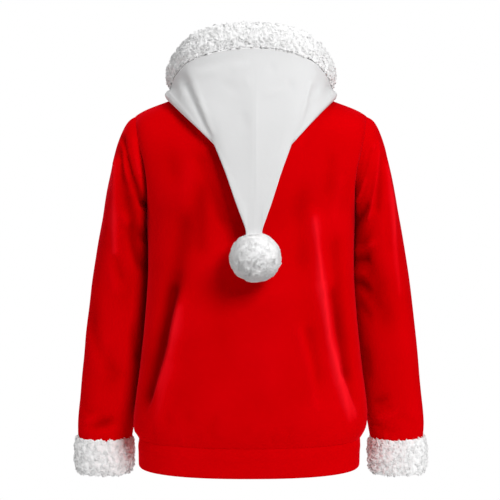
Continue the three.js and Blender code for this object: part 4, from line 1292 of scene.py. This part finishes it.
def pile_material(name, dark, light, roughness, scale):
    """Fleece or pile made of its own mesh: a slight change of colour and a fine fibre bump."""
    material, tree, shader = plain_material(name, light, roughness)
    place = new_node(tree, "TexCoord", {}).outputs["Object"]
    feed(tree, shader, {
        "Base Color": ramp(tree, noise(tree, scale, 3, place), [(0.3, dark), (0.6, light)]),
        "Sheen Weight": 0.25,
        "Sheen Roughness": 0.5,
        "Specular IOR Level": 0.15,
        "Subsurface Weight": 0.12,
        "Subsurface Scale": 0.003,
        "Subsurface Radius": (1, 1, 1),
        "Normal": bump(tree, place, "fuzz"),
    })
    return material


# Colour ramps for the plush: random worn patches move the colour a little, and fold height moves it to the
# darkest stop in troughs as painted shade and to the lightest on ridges as painted highlight
RED_STOPS = [(0.12, (0.25, 0.0, 0.0)), (0.44, (0.6, 0.0, 0.001)), (0.58, (0.68, 0.0, 0.002)),
             (0.86, (0.95, 0.008, 0.016))]
WHITE_STOPS = [(0.1, (0.64, 0.645, 0.65)), (0.42, (0.71, 0.712, 0.715)), (0.6, (0.74, 0.742, 0.745)),
               (0.9, (0.8, 0.8, 0.8))]
red = plush_material("red_plush", RED_STOPS, 0.9, 0.5, (1, 0.03, 0.06), 0.0, 14)
white = plush_material("white_plush", WHITE_STOPS, 0.85, 0.1, (1, 1, 1), 0.1, 11)
sherpa = pile_material("white_sherpa", (0.9, 0.9, 0.9), (0.96, 0.96, 0.96), 0.9, 90)
pile = pile_material("white_pile", (0.96, 0.96, 0.96), (0.99, 0.99, 0.99), 0.9, 70)

back = body_panel("back", BACK_FOLDS, red)
front = body_panel("front", FRONT_FOLDS, red)
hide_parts("back")
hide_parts("front")
for side, sign in (("left", 1), ("right", -1)):
    arm = sleeve(side, sign, red)
    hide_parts("sleeve_" + side)
    half = hood_half(side, sign, white)
    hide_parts("hood_" + side)
    fur, curls = cuff(side, sign, sherpa)
band = hem_band(red)
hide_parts("hem_band")
trim, curls = hood_trim(sherpa)
pompom(pile)


# Floor, light and surroundings

def area_light(name, place, target, size, power_watts):
    data = bpy.data.lights.new(name, "AREA")
    data.size = size
    data.energy = power_watts
    light = new_object(name, data)
    light.location = place
    direction = np.array(target) - np.array(place)
    light.rotation_euler = Vector(direction).to_track_quat("-Z", "Y").to_euler()


area_light("key", (-1.35, 2.7, 1.35), (0, 0.1, -0.3), 1.1, 87)
area_light("top", (0.2, 0.4, 2.1), (0, 0.05, -0.1), 1.3, 18)
area_light("left_side", (2.8, 0.6, 0.3), (0.1, 0, -0.3), 1.6, 27)
area_light("right_side", (-2.8, 0.4, 0.2), (-0.1, 0, -0.35), 1.6, 17)
area_light("front_fill", (0.3, -2.6, 0.8), (0, 0, -0.3), 2.2, 60)


def surroundings():
    """White all round, dimmer as light than as background."""
    world = bpy.data.worlds.new("surroundings")
    bpy.context.scene.world = world
    world.use_nodes = True
    tree = world.node_tree
    tree.nodes.clear()
    light, backdrop = (new_node(tree, "Background", {"Color": (1, 1, 1, 1), "Strength": strength}).outputs[0]
                       for strength in (0.05, 1.0))
    seen = new_node(tree, "LightPath", {}).outputs["Is Camera Ray"]
    mix = new_node(tree, "MixShader", {0: seen, 1: light, 2: backdrop}).outputs[0]
    new_node(tree, "OutputWorld", {0: mix})


surroundings()

FLOOR = {"z": -1.16, "size": 3.0, "glow": 0.15}
bpy.ops.mesh.primitive_plane_add(size=FLOOR["size"], location=(0, 0, FLOOR["z"]))
floor = bpy.context.object
floor.name = "floor"
floor_material, floor_tree, floor_shader = plain_material("floor", (0.9, 0.9, 0.9), 0.9)
feed(floor_tree, floor_shader, {"Emission Color": (1, 1, 1, 1), "Emission Strength": FLOOR["glow"]})
floor.data.materials.append(floor_material)

bpy.context.scene.view_settings.view_transform = "Standard"
